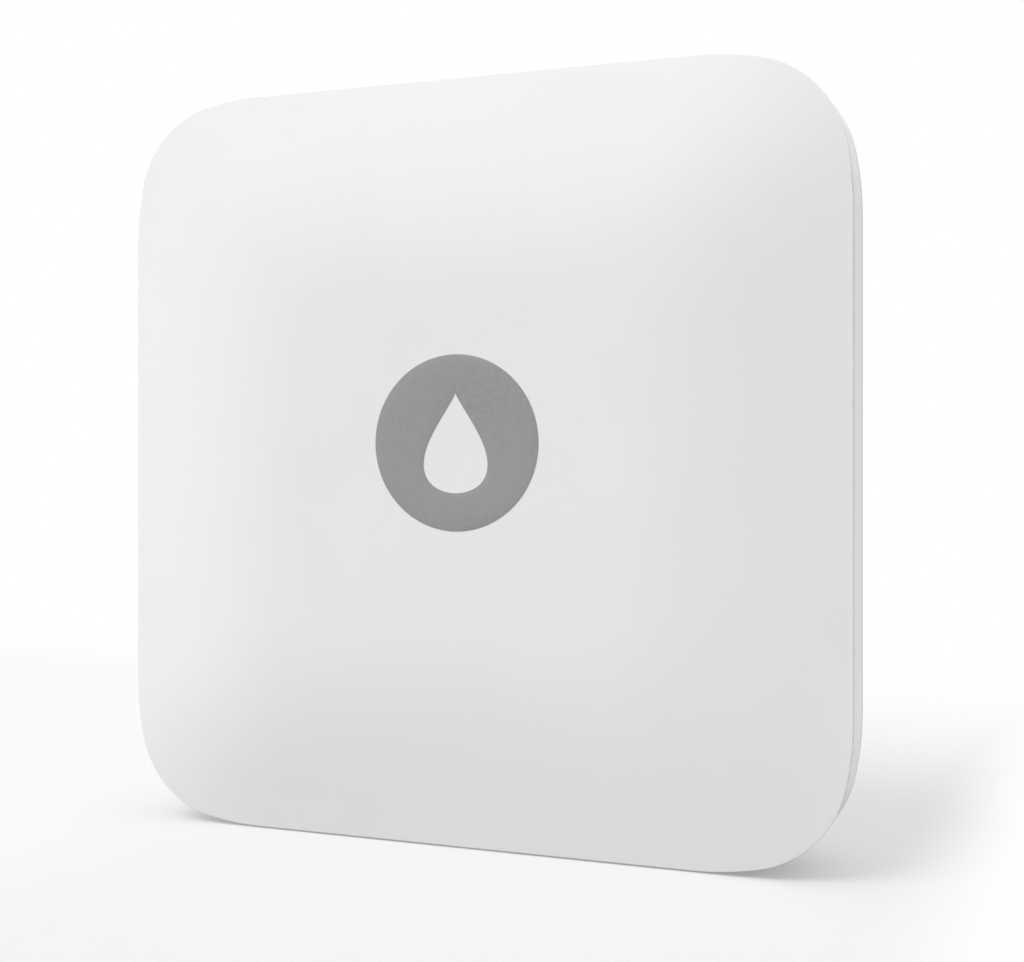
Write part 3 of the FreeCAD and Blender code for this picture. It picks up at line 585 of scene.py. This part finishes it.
# Bosses and pins inside the cover: the bosses take the screws' threads, the pins press the board
# on to the shell's posts. They are part of the cover's moulding.
BOSS_R = 2.4 * MM
BOSS_END = BACK_Y - 4.4 * MM
PIN_END = BACK_Y - 8.6 * MM
ceiling = FRONT_Y + DOME_RISE + COVER_LIP / 2
pins = [post(BOSS_R, ceiling, BOSS_END, *place) for place in crosswise(SCREW_AT)]
pins += [post(POST_R, ceiling, PIN_END, *place) for place in post_places()]
combined(cover, joined(pins), "UNION")
smooth(cover)

# Battery door: a round plate of ABS that turns to lock, with a coin slot outside and three lugs
# on a skirt inside, which slide in behind the shell's lip.
DOOR_PLATE = 1.6 * MM
SEAL_Z = 0.93 * MM                      # step for the sealing ring
SEAL_IN = 15.25 * MM
DOOR_SKIRT = (12.75 * MM, 13.6 * MM)
LUG_R = 15.0 * MM
LUG_FROM, LUG_TO = 2.75 * MM, 3.75 * MM
SKIRT_SPAN, LUG_SPAN = 44.0, 28.0       # degrees
LUG_ANGLES = (90.0, 210.0, 330.0)
DOOR_EDGE = 0.3 * MM
MIDDLE_ROW = 4.0 * MM                   # innermost ring of points
COIN_LONG = 15.4 * MM
COIN_WIDE = 1.7 * MM
COIN_DEEP = 0.75 * MM
COIN_FOOT = 0.2 * MM                    # rounding along the floor of the slot
POINTER_R = 0.9 * MM                    # sunk arrow, a triangle inside a circle of this radius
POINTER_IN = 1.5 * MM                   # from the door's edge to its middle


def sector(inner, outer, from_back, to_back, middle, span):
    """Part of a ring about the door's axis, round corners in its section, over a span of degrees."""
    y0, y1 = BACK_Y - from_back, BACK_Y - to_back
    r = EDGE_ROUND
    section = rounded([(inner, (y0 + y1) / 2, 0), (inner, y0, r), (outer, y0, r), (outer, y1, r),
                       (inner, y1, r), (inner, (y0 + y1) / 2 - r, 0)], 4)
    angle = np.radians(middle + np.linspace(-span / 2, span / 2, 24))
    rings = np.empty((len(angle), len(section), 3))
    rings[:, :, 0] = section[:, 0] * np.cos(angle)[:, None]
    rings[:, :, 1] = section[:, 1]
    rings[:, :, 2] = section[:, 0] * np.sin(angle)[:, None] + MIDDLE_Z
    return surface("sector", rings)


def coin_cutter():
    """Slot whose floor is an arc, as a coin's edge is, with its mouth flared by a soft edge.

    At x from its middle it is sqrt(floor_r^2 - x^2) - (floor_r - COIN_DEEP) deep."""
    floor_r = COIN_LONG ** 2 / (8 * COIN_DEEP) + COIN_DEEP / 2
    reach = COIN_LONG / 2 + PROUD
    x = np.linspace(-reach, reach, 61)
    low = BACK_Y + (floor_r - COIN_DEEP) - np.sqrt(floor_r ** 2 - x ** 2)
    half = COIN_WIDE / 2
    side = rounded([(0, BACK_Y - COIN_DEEP, 0), (half, BACK_Y - COIN_DEEP, COIN_FOOT),
                    (half, BACK_Y - EDGE_ROUND, MOUTH_ROUND),
                    (half + EDGE_ROUND + PROUD, BACK_Y + PROUD, 0), (0, BACK_Y + PROUD, 0)], 5)
    across = np.concatenate([side[1:-1], side[-2:0:-1] * [-1, 1]])
    deeper = across[:, 1] < BACK_Y - 2 * EDGE_ROUND
    rings = np.empty((len(x), len(across), 3))
    rings[:, :, 0] = x[:, None]
    rings[:, :, 1] = np.where(deeper, low[:, None] + across[:, 1] - BACK_Y + COIN_DEEP,
                              np.maximum(across[:, 1], low[:, None] + COIN_FOOT))
    rings[:, :, 2] = across[:, 0] + MIDDLE_Z
    return surface("slot", rings)


def door_profile():
    """Rows from the middle of the outer face, over the rim and the seal's step, to the inner face."""
    return rounded([(MIDDLE_ROW, BACK_Y, 0), (DOOR_R, BACK_Y, DOOR_EDGE),
                    (DOOR_R, BACK_Y - SEAL_Z, EDGE_ROUND), (SEAL_IN, BACK_Y - SEAL_Z, 0),
                    (SEAL_IN, BACK_Y - DOOR_PLATE, EDGE_ROUND), (MIDDLE_ROW, BACK_Y - DOOR_PLATE, 0)])


door = turned("battery_door_look", door_profile(), steps=192)
inner_parts = []
for angle in LUG_ANGLES:
    skirt = sector(*DOOR_SKIRT, DOOR_PLATE - EDGE_ROUND, LUG_TO, angle, SKIRT_SPAN)
    lug = sector(DOOR_SKIRT[1] - EDGE_ROUND, LUG_R, LUG_FROM, LUG_TO, angle, LUG_SPAN)
    combined(skirt, lug, "UNION")
    inner_parts.append(skirt)
combined(door, joined(inner_parts), "UNION")
combined(door, coin_cutter(), "DIFFERENCE")
combined(door, sunk_sign(POINTER_R, DOOR_R - POINTER_IN, LOCKED, 3, LOCKED), "DIFFERENCE")
smooth(door)
# ABS again, with a slightly coarser grain, so that fingers and coins leave no shine on it.
door_abs = moulded("grained_door_abs", "#E9E9E8", "#EDEDEC", 0.55, 0.45 * MM, 0.003 * MM)
dress(door, door_abs, "door", "white_door", "battery_door")

# Water studs: four feet turned from brass and nickel-plated. Their flat ends stand in the water
# and carry the sensor, and a spring clip inside holds each by its shank.
STUD_PROUD = 0.8 * MM
STUD_SUNK = 0.5 * MM
STUD_BEVEL = 0.3 * MM
SHANK_R = 1.2 * MM
CENTRE_ROW = 0.2 * MM                   # innermost ring of points


def stud_profile(box):
    """Rows from the middle of the foot, over its bevel, to the end of the shank."""
    foot = (box[1].x - box[0].x) / 2
    end = BACK_Y + STUD_PROUD
    return rounded([(CENTRE_ROW, end, 0), (foot - STUD_BEVEL, end, EDGE_ROUND),
                    (foot, end - STUD_BEVEL, EDGE_ROUND), (foot, BACK_Y - STUD_SUNK, EDGE_ROUND),
                    (SHANK_R, BACK_Y - STUD_SUNK, 0), (SHANK_R, box[0].y, EDGE_ROUND),
                    (CENTRE_ROW, box[0].y, 0)], 5)


def turned_metal(name, dark, light, roughness, pitch, depth):
    """Lathe-turned and plated metal: rings at the tool's pitch, read from the profile's own length,
    and slight clouds in the plating."""
    material, tree, place = start_material(name)
    turned_uv = add(tree, "ShaderNodeUVMap", uv_map="turned").outputs["UV"]
    way = add(tree, "ShaderNodeSeparateXYZ", {"Vector": turned_uv}).outputs["Y"]
    clouds = add(tree, "ShaderNodeTexNoise", {"Vector": place, "Scale": 1 / (2.5 * MM), "Detail": 1.0})
    turns = add(tree, "ShaderNodeMath", {0: way, 1: 2 * np.pi / pitch}, operation="MULTIPLY")
    wave = add(tree, "ShaderNodeMath", {0: turns.outputs["Value"]}, operation="SINE")
    bump = add(tree, "ShaderNodeBump", {"Height": wave.outputs["Value"], "Distance": depth})
    gloss = add(tree, "ShaderNodeMapRange", {"Value": clouds.outputs["Fac"], "To Min": roughness - 0.04,
                                             "To Max": roughness + 0.04})
    end_material(tree, {"Base Color": tones(tree, clouds.outputs["Fac"], (0.3, dark), (0.7, light)),
                        "Metallic": 1.0, "Roughness": gloss.outputs["Result"],
                        "Normal": bump.outputs["Normal"]})
    return material


# Nickel on brass: warm grey and bright, with fine turning rings that spread the highlight. The
# rings are drawn 0.25 mm apart, because the real 0.05 mm feed is under a pixel.
plated_brass = turned_metal("turned_nickel_plated_brass", "#C2BCB0", "#CCC6BA", 0.26, 0.25 * MM,
                            0.002 * MM)
for number, box in enumerate(stud_boxes(), 1):
    stud = turned("water_stud_%d_look" % number, stud_profile(box), *middle_of(box), 72)
    smooth(stud)
    dress(stud, plated_brass, "housing", "plated_stud", "water_stud_%d" % number)

# Housing screws: four self-tapping screws with a cross recess, cold-headed from steel and
# zinc-plated, sunk below the back so that they never touch the water.
HEAD_R = 1.9 * MM
HEAD_H = 1.3 * MM
HEAD_EDGE, HEAD_UNDER = 0.22 * MM, 0.08 * MM    # rounding of the head's upper and lower edge
FACE_R = HEAD_R - 0.25 * MM                     # flat of the head, inside its rounded edge
THREAD_R = 1.0 * MM
THREAD_CORE = 0.72 * MM
THREAD_PITCH = 0.8 * MM
THREAD_SHARP = 1.5                      # power that hollows the flanks between two crests
SCREW_LONG = 7.0 * MM
POINT_LONG = 1.2 * MM                   # the thread tapers over this length to a blunt point
POINT_BLUNT = 0.15                      # share of the radius that is left at the point
POINT_CUT = 0.2 * MM                    # the mesh stops short by this, inside the blunt point
CROSS_ARM = 1.15 * MM
CROSS_HALF = 0.24 * MM
CROSS_DEEP = 0.6 * MM
CROSS_SLOPE, CROSS_END = 0.12 * MM, 0.3 * MM    # width of the recess's walls, at sides and ends
SCREW_STEPS = 96


def screw(x, z):
    """Screw about an axis along Y. The head's face is dug out where the smaller of |x| and |z| is
    less than an arm's half width, and the thread's radius rises and falls with height less turn."""
    angle = np.linspace(0, 2 * np.pi, SCREW_STEPS, endpoint=False)
    face = np.linspace(0.03, 1, 22) * FACE_R
    under = BACK_Y - HEAD_SUNK
    rim = rounded([(face[-1], under + HEAD_H, 0), (HEAD_R, under + HEAD_H, HEAD_EDGE),
                   (HEAD_R, under, HEAD_UNDER), (THREAD_R, under, 0)], 5)[1:]
    down = np.linspace(0, SCREW_LONG - POINT_CUT, 90)
    radius = np.concatenate([face, rim[:, 0], np.full(len(down), THREAD_R)])
    y = np.concatenate([np.full(len(face), under + HEAD_H), rim[:, 1], under - down])
    radius, y = np.tile(radius[:, None], SCREW_STEPS), np.tile(y[:, None], SCREW_STEPS)
    arm = np.abs(np.stack([face[:, None] * np.cos(angle), face[:, None] * np.sin(angle)]))
    inside = (np.clip((CROSS_HALF - arm.min(0)) / CROSS_SLOPE + 0.5, 0, 1)
              * np.clip((CROSS_ARM - arm.max(0)) / CROSS_END, 0, 1))
    y[:len(face)] -= CROSS_DEEP * inside
    turn = down[:, None] / THREAD_PITCH - angle / (2 * np.pi)
    ridge = (1 - np.abs(2 * (turn % 1) - 1)) ** THREAD_SHARP
    taper = np.clip((SCREW_LONG - down) / POINT_LONG, POINT_BLUNT, 1)[:, None]
    radius[-len(down):] = (THREAD_CORE + (THREAD_R - THREAD_CORE) * ridge) * taper
    rings = np.stack([x + radius * np.cos(angle), y, z + radius * np.sin(angle)], -1)
    return surface("screw", rings)


screws = joined([screw(*place) for place in crosswise(SCREW_AT)])
screws.name = "housing_screws_look"
smooth(screws)
# Zinc on steel: bluish grey and duller than the studs, with hardly any rings.
zinc_steel = turned_metal("zinc_plated_screw_steel", "#A9ABAD", "#C6C8CB", 0.34, 0.3 * MM, 0.001 * MM)
dress(screws, zinc_steel, "housing", "screw_steel", "housing_screws")

# Pairing button: a round grey key in its own dish, with a shallow hollow for the fingertip. A
# flange inside keeps it in, and its stem reaches the switch on the board.
BUTTON_SUNK = 0.3 * MM
BUTTON_R = 2.0 * MM
BUTTON_RIM = 0.4 * MM                   # flat round the hollow, with its rounded edge
BUTTON_EDGE = 0.2 * MM
BUTTON_HOLLOW = 0.18 * MM
FLANGE_FROM, FLANGE_TO = 1.65 * MM, 2.15 * MM
FLANGE_R = 2.6 * MM
STEM_R = 1.0 * MM
GROOVE_FROM, GROOVE_TO = 0.7 * MM, 1.2 * MM     # for the seal
GROOVE_R = 1.5 * MM


def button_profile():
    """Rows from the middle of the hollow, over edge, seal groove and flange, to the end of the stem.

    The hollow is a parabola, deepest in the middle."""
    top = BACK_Y - BUTTON_SUNK
    r = np.linspace(0.05, 1, 10) * (BUTTON_R - BUTTON_RIM)
    hollow = np.stack([r, top - BUTTON_HOLLOW * (1 - (r / r[-1]) ** 2)], 1)
    rest = rounded([(r[-1], top, 0), (BUTTON_R, top, BUTTON_EDGE), (BUTTON_R, BACK_Y - GROOVE_FROM, 0),
                    (GROOVE_R, BACK_Y - GROOVE_FROM, 0), (GROOVE_R, BACK_Y - GROOVE_TO, 0),
                    (BUTTON_R, BACK_Y - GROOVE_TO, 0), (BUTTON_R, BACK_Y - FLANGE_FROM, 0),
                    (FLANGE_R, BACK_Y - FLANGE_FROM, 0), (FLANGE_R, BACK_Y - FLANGE_TO, 0),
                    (STEM_R, BACK_Y - FLANGE_TO, 0), (STEM_R, BUTTON[0].y, EDGE_ROUND),
                    (CENTRE_ROW, BUTTON[0].y, 0)], 5)[1:]
    return np.concatenate([hollow, rest])


button = turned("pairing_button_look", button_profile(), *BUTTON_AT, 72)
smooth(button)
# Grey acetal: slippery and a little waxy, with a clearer highlight than the housing's.
grey_acetal = moulded("grey_acetal_key", "#8E9193", "#989B9D", 0.4, 0.3 * MM, 0.0015 * MM)
dress(button, grey_acetal, "button", "grey_button", "pairing_button")


# Seals: the gasket between the two mouldings and rings on the door, button and studs. They are
# moulded from grey silicone, then pressed between the hard parts.
def silicone():
    """Moulded silicone: soft, matt and slightly dusty, so its tone varies in small clouds."""
    material, tree, place = start_material("moulded_grey_silicone")
    dust = add(tree, "ShaderNodeTexNoise", {"Vector": place, "Scale": 1 / (0.8 * MM), "Detail": 4.0})
    bump = add(tree, "ShaderNodeBump", {"Height": dust.outputs["Fac"], "Distance": 0.01 * MM})
    colour = tones(tree, dust.outputs["Fac"], (0.3, "#6E7072"), (0.7, "#7E8083"))
    end_material(tree, {"Base Color": colour, "Roughness": 0.72, "Normal": bump.outputs["Normal"],
                        "IOR": 1.41})
    return material


def cad_finish(material, *nodes):
    """Puts a material on CAD nodes that are shown as they are."""
    for name in nodes:
        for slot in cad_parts[name].material_slots:
            slot.material = material


cad_finish(silicone(), "cover_gasket", "door_seal", "button_seal",
           *["stud_seal_%d" % number for number in (1, 2, 3, 4)])


# Round cell: a nickel-plated steel can, drawn in one piece, with a cap let into a plastic ring.
# It lies in the well of the shell and is held there by the door.
def sheet_metal(name, dark, light, roughness, grain, stretch=(1, 1, 1)):
    """Rolled or drawn sheet: fine scratches whose scale along each axis is multiplied by stretch."""
    material, tree, place = start_material(name)
    pulled = add(tree, "ShaderNodeMapping", {"Vector": place, "Scale": stretch}).outputs["Vector"]
    scratches = add(tree, "ShaderNodeTexNoise", {"Vector": pulled, "Scale": 1 / grain, "Detail": 5.0})
    gloss = add(tree, "ShaderNodeMapRange", {"Value": scratches.outputs["Fac"], "To Min": roughness - 0.1,
                                             "To Max": roughness + 0.1})
    bump = add(tree, "ShaderNodeBump", {"Height": scratches.outputs["Fac"], "Distance": 0.002 * MM})
    end_material(tree, {"Base Color": tones(tree, scratches.outputs["Fac"], (0.3, dark), (0.7, light)),
                        "Metallic": 1.0, "Roughness": gloss.outputs["Result"],
                        "Normal": bump.outputs["Normal"]})
    return material


def speckled(name, dark, light, roughness, grain):
    """Fine-grained solid, such as epoxy or fired ceramic: small specks of two tones."""
    material, tree, place = start_material(name)
    specks = add(tree, "ShaderNodeTexVoronoi", {"Vector": place, "Scale": 1 / grain})
    bump = add(tree, "ShaderNodeBump", {"Height": specks.outputs["Distance"], "Distance": 0.004 * MM})
    end_material(tree, {"Base Color": tones(tree, specks.outputs["Distance"], (0.1, dark), (0.8, light)),
                        "Roughness": roughness, "Normal": bump.outputs["Normal"]})
    return material


# Nickel on drawn steel: bright, with scratches pulled long by the drawing. The ring is dark and
# satin, and the pressed powder inside is black and dry.
cell_steel = sheet_metal("drawn_nickel_steel", "#B4B4B2", "#CFCFCC", 0.28, 0.2 * MM, (1, 1, 0.08))
cad_finish(cell_steel, "battery_can", "battery_cap")
cad_finish(speckled("pressed_powder_pellet", "#161616", "#262626", 0.9, 0.2 * MM), "battery_core")
cad_finish(speckled("polypropylene_ring", "#2C3140", "#363C4E", 0.5, 0.3 * MM), "battery_ring")

# Contacts and springs: strips and blades stamped from spring bronze with a thin gold flash, and
# soldered to the board. The flash is warm and bright, and shows the strip's rolling lines.
spring_bronze = sheet_metal("gold_flashed_spring_bronze", "#B8944A", "#D8B66A", 0.3, 0.15 * MM,
                            (0.1, 1, 1))
cad_finish(spring_bronze, "positive_contact", "negative_contact", "sounder_spring_1",
           "sounder_spring_2", *["stud_blade_%d" % number for number in (1, 2, 3, 4)])


# Boards: the main board on the shell's posts, and the small radio board on top of it. They are
# glass-epoxy laminate under green solder resist, which shows the copper below it.
def solder_resist():
    """Patches of parallel copper tracks, each patch running one way or the other. The resist is
    lighter over copper and stands up a little there."""
    material, tree, place = start_material("green_solder_resist")
    patch = add(tree, "ShaderNodeTexVoronoi", {"Vector": place, "Scale": 1 / (4.5 * MM)},
                distance="CHEBYCHEV")
    way = add(tree, "ShaderNodeSeparateColor", {"Color": patch.outputs["Color"]}).outputs["Red"]
    other_way = add(tree, "ShaderNodeMath", {0: way, 1: 0.5}, operation="GREATER_THAN").outputs["Value"]
    axes = add(tree, "ShaderNodeSeparateXYZ", {"Vector": place}).outputs
    along = add(tree, "ShaderNodeMix", {"Factor": other_way, 2: axes["X"], 3: axes["Z"]},
                data_type="FLOAT")
    turns = add(tree, "ShaderNodeMath", {0: along.outputs[0], 1: 2 * np.pi / (0.9 * MM)},
                operation="MULTIPLY")
    tracks = add(tree, "ShaderNodeMath", {0: turns.outputs["Value"]}, operation="SINE")
    copper = add(tree, "ShaderNodeMapRange", {"Value": tracks.outputs["Value"], "From Min": 0.2,
                                              "From Max": 0.5}).outputs["Result"]
    bump = add(tree, "ShaderNodeBump", {"Height": copper, "Distance": 0.02 * MM})
    end_material(tree, {"Base Color": tones(tree, copper, (0.0, "#14502F"), (1.0, "#23683F")),
                        "Roughness": 0.32, "Normal": bump.outputs["Normal"], "IOR": 1.55})
    return material


cad_finish(solder_resist(), "circuit_board", "radio_board")

# Chips, shield, antenna and small parts on the boards, the clips on the studs and the sounder's disc.
# They are moulded epoxy, which is dull and black, tinned steel, grey and softly bright, and fired
# ceramic, with a fine even speckle.
cad_finish(speckled("moulded_epoxy", "#121315", "#1E2023", 0.6, 0.12 * MM),
           "controller_chip", "radio_chip", "switch_body")
tinned = sheet_metal("tinned_steel_sheet", "#B2B4B6", "#CDCFD1", 0.33, 0.4 * MM)
cad_finish(tinned, "radio_shield", "push_nuts")
cad_finish(speckled("fired_white_ceramic", "#D9D6CE", "#E8E5DE", 0.45, 0.1 * MM),
           "radio_antenna", "sounder_ceramic")
cad_finish(speckled("fired_brown_ceramic", "#5C4630", "#7A5F42", 0.4, 0.08 * MM), "small_parts")

# Sounder plate: a rolled brass disc, bonded into the thin middle of the cover, with rolling lines
# along one way.
rolled_brass = sheet_metal("rolled_brass", "#B08D45", "#CFAD62", 0.3, 0.3 * MM, (0.06, 1, 1))
cad_finish(rolled_brass, "sounder_plate")

# Lamp and its guide: a cream package on the board, and a rod of clear polycarbonate that carries its
# light to a thin place in the cover.
cad_finish(speckled("lamp_epoxy", "#E6E0C6", "#F2EED8", 0.2, 0.15 * MM), "status_led")


def clear_rod():
    """Moulded polycarbonate: clear, with faint flow lines that bend what is seen through it."""
    material, tree, place = start_material("clear_polycarbonate")
    flow = add(tree, "ShaderNodeTexNoise", {"Vector": place, "Scale": 1 / (1.2 * MM), "Detail": 1.0})
    bump = add(tree, "ShaderNodeBump", {"Height": flow.outputs["Fac"], "Distance": 0.01 * MM})
    colour = tones(tree, flow.outputs["Fac"], (0.3, "#E9EDEF"), (0.7, "#F6F8F9"))
    end_material(tree, {"Base Color": colour, "Roughness": 0.08, "Transmission Weight": 0.9,
                        "IOR": 1.586, "Normal": bump.outputs["Normal"]})
    return material


cad_finish(clear_rod(), "light_guide")

# Switch plunger: a small peg in the switch under the button, moulded from nylon, which is a warmer
# and milkier white than the housing.
nylon = moulded("moulded_nylon", "#D6D5D0", "#E2E1DC", 0.45, 0.2 * MM, 0.002 * MM)
cad_finish(nylon, "switch_plunger")

# Floor: a white sweep, pale grey near the sensor and pure white further away. The camera and
# glossy or transmitted rays see it paler than it lights the sensor; its shadow is real.
FLOOR_HALF = 4000 * MM
FLOOR_LOW = 0.13 * MM                   # shows the line of shadow where the sensor stands
FADE_BACK = (25 * MM, 110 * MM)         # the floor fades to white behind the sensor
FADE_RIGHT = (34 * MM, 45 * MM)         # and to its right
FADE_LEFT = (-18 * MM, -45 * MM)        # and, part of the way, to its left
FADE_AWAY = (100 * MM, 500 * MM)        # and all round at a distance
FLOOR_GLOW = 0.3                        # share of its light that no shadow takes away


def floor_sheet():
    """Flat square on which the sensor stands, lower than the ground plane by FLOOR_LOW."""
    corners = np.array([(-1, -1), (1, -1), (1, 1), (-1, 1)]) * FLOOR_HALF
    return in_scene("floor", np.insert(corners, 2, -FLOOR_LOW, axis=1), [(0, 1, 2, 3)])


def white_sweep():
    """Matt white card, mixed with a glow that keeps its shadows pale. It fades to plain white behind
    the sensor and to both sides, and sends less light back than it shows."""
    material, tree, place = start_material("white_card_sweep")
    axes = add(tree, "ShaderNodeSeparateXYZ", {"Vector": place}).outputs
    away = add(tree, "ShaderNodeVectorMath", {0: place}, operation="LENGTH").outputs["Value"]
    white = 0.0
    for way, (near, far), most in ((axes["Y"], FADE_BACK, 1.0), (axes["X"], FADE_RIGHT, 1.0),
                                   (axes["X"], FADE_LEFT, 0.6), (away, FADE_AWAY, 1.0)):
        fade = add(tree, "ShaderNodeMapRange", {"Value": way, "From Min": near, "From Max": far,
                                                "To Max": most}, interpolation_type="SMOOTHSTEP")
        white = add(tree, "ShaderNodeMath", {0: white, 1: fade.outputs["Result"]},
                    operation="MAXIMUM").outputs["Value"]
    card = add(tree, "ShaderNodeBsdfDiffuse", {"Color": linear("#F9F9F9")})
    glow = add(tree, "ShaderNodeEmission", {"Color": (1, 1, 1, 1), "Strength": 1.0})
    pale = add(tree, "ShaderNodeMapRange", {"Value": white, "To Min": FLOOR_GLOW})
    shown = add(tree, "ShaderNodeMixShader", {"Fac": pale.outputs["Result"], 1: card.outputs["BSDF"],
                                              2: glow.outputs["Emission"]})
    returned = add(tree, "ShaderNodeBsdfDiffuse", {"Color": linear("#999999")})
    path = add(tree, "ShaderNodeLightPath").outputs
    seen = add(tree, "ShaderNodeMath", {0: path["Is Camera Ray"], 1: path["Is Glossy Ray"]},
               operation="MAXIMUM")
    seen = add(tree, "ShaderNodeMath", {0: seen.outputs["Value"], 1: path["Is Transmission Ray"]},
               operation="MAXIMUM")
    pick = add(tree, "ShaderNodeMixShader", {"Fac": seen.outputs["Value"], 1: returned.outputs["BSDF"],
                                             2: shown.outputs["Shader"]})
    add(tree, "ShaderNodeOutputMaterial", {"Surface": pick.outputs["Shader"]})
    return material


floor = floor_sheet()
floor.data.materials.append(white_sweep())

# Light: an even white room and six soft lamps. The strong ones from the left and above model the
# shallow dome; they would bleach the shell's upright sides, so a gentler lamp stands in there. The
# floor has a lamp of its own, which lays the shadow to the right of the sensor.
ROOM = 0.665


def white_room():
    """White for camera and transmitted rays; the room's own level for light and for reflections."""
    world = bpy.data.worlds.new("white_room")
    bpy.context.scene.world = world
    world.use_nodes = True
    tree = world.node_tree
    tree.nodes.clear()
    path = add(tree, "ShaderNodeLightPath").outputs
    seen = add(tree, "ShaderNodeMath", {0: path["Is Camera Ray"], 1: path["Is Transmission Ray"]},
               operation="MAXIMUM")
    level = add(tree, "ShaderNodeMix", {"Factor": seen.outputs["Value"], 2: ROOM, 3: 1.0},
                data_type="FLOAT")
    back = add(tree, "ShaderNodeBackground", {"Color": (1, 1, 1, 1), "Strength": level.outputs[0]})
    add(tree, "ShaderNodeOutputWorld", {"Surface": back.outputs["Background"]})


def soft_lamp(name, direction, strength, spread, *pieces, link="EXCLUDE"):
    """Distant soft lamp that shines from a direction; spread is its width in degrees.

    The pieces are left out of what it lights or, with link INCLUDE, are all that it lights."""
    lamp = bpy.data.lights.new(name, "SUN")
    lamp.energy = strength
    lamp.angle = np.radians(spread)
    holder = bpy.data.objects.new(name, lamp)
    bpy.context.scene.collection.objects.link(holder)
    holder.rotation_mode = "QUATERNION"
    holder.rotation_quaternion = Vector(direction).to_track_quat("Z", "Y")
    linked = bpy.data.collections.new(link.lower() + " for " + name)
    for number, piece in enumerate(pieces):
        linked.objects.link(piece)
        linked.collection_objects[number].light_linking.link_state = link
    holder.light_linking.receiver_collection = linked


white_room()
soft_lamp("key", (-0.75, -0.15, 1.06), 1.65, 40, floor, shell)
soft_lamp("left", (-1.0, -0.1, 0.1), 2.1, 30, floor, shell)
soft_lamp("front", (-0.2, -1.0, 1.0), 1.17, 60, floor)
soft_lamp("floor", (-0.75, -1.1, 1.9), 0.93, 32, floor, link="INCLUDE")
soft_lamp("right", (1.0, 0.15, 0.75), 1.05, 20, floor)
soft_lamp("back", (-0.5, 0.6, 0.8), 0.8, 60, floor, cover)

# Camera: level, near the height of the sensor's middle, in front of it and to its right. The
# picture is shifted down in place of tilting it, so upright edges stay upright.
CAMERA_AT = (50.18 * MM, -123.0 * MM, 33.7 * MM)
CAMERA_YAW = 21.18                      # degrees to the left of straight at the face
LENS = 53.37                            # millimetres, on a sensor SENSOR_WIDE across
SENSOR_WIDE = 36.0
PICTURE_WIDE = 1024                     # pixels
HORIZON_UP = 33.3                       # pixels from the picture's middle up to the level line
NEAREST = 10 * MM
camera = bpy.data.cameras.new("camera")
camera.lens = LENS
camera.sensor_width = SENSOR_WIDE
camera.shift_y = -HORIZON_UP / PICTURE_WIDE
camera.clip_start = NEAREST
viewpoint = bpy.data.objects.new("camera", camera)
bpy.context.scene.collection.objects.link(viewpoint)
viewpoint.location = CAMERA_AT
viewpoint.rotation_euler = (np.pi / 2, 0, np.radians(CAMERA_YAW))
bpy.context.scene.camera = viewpoint
bpy.context.scene.view_settings.view_transform = "Standard"
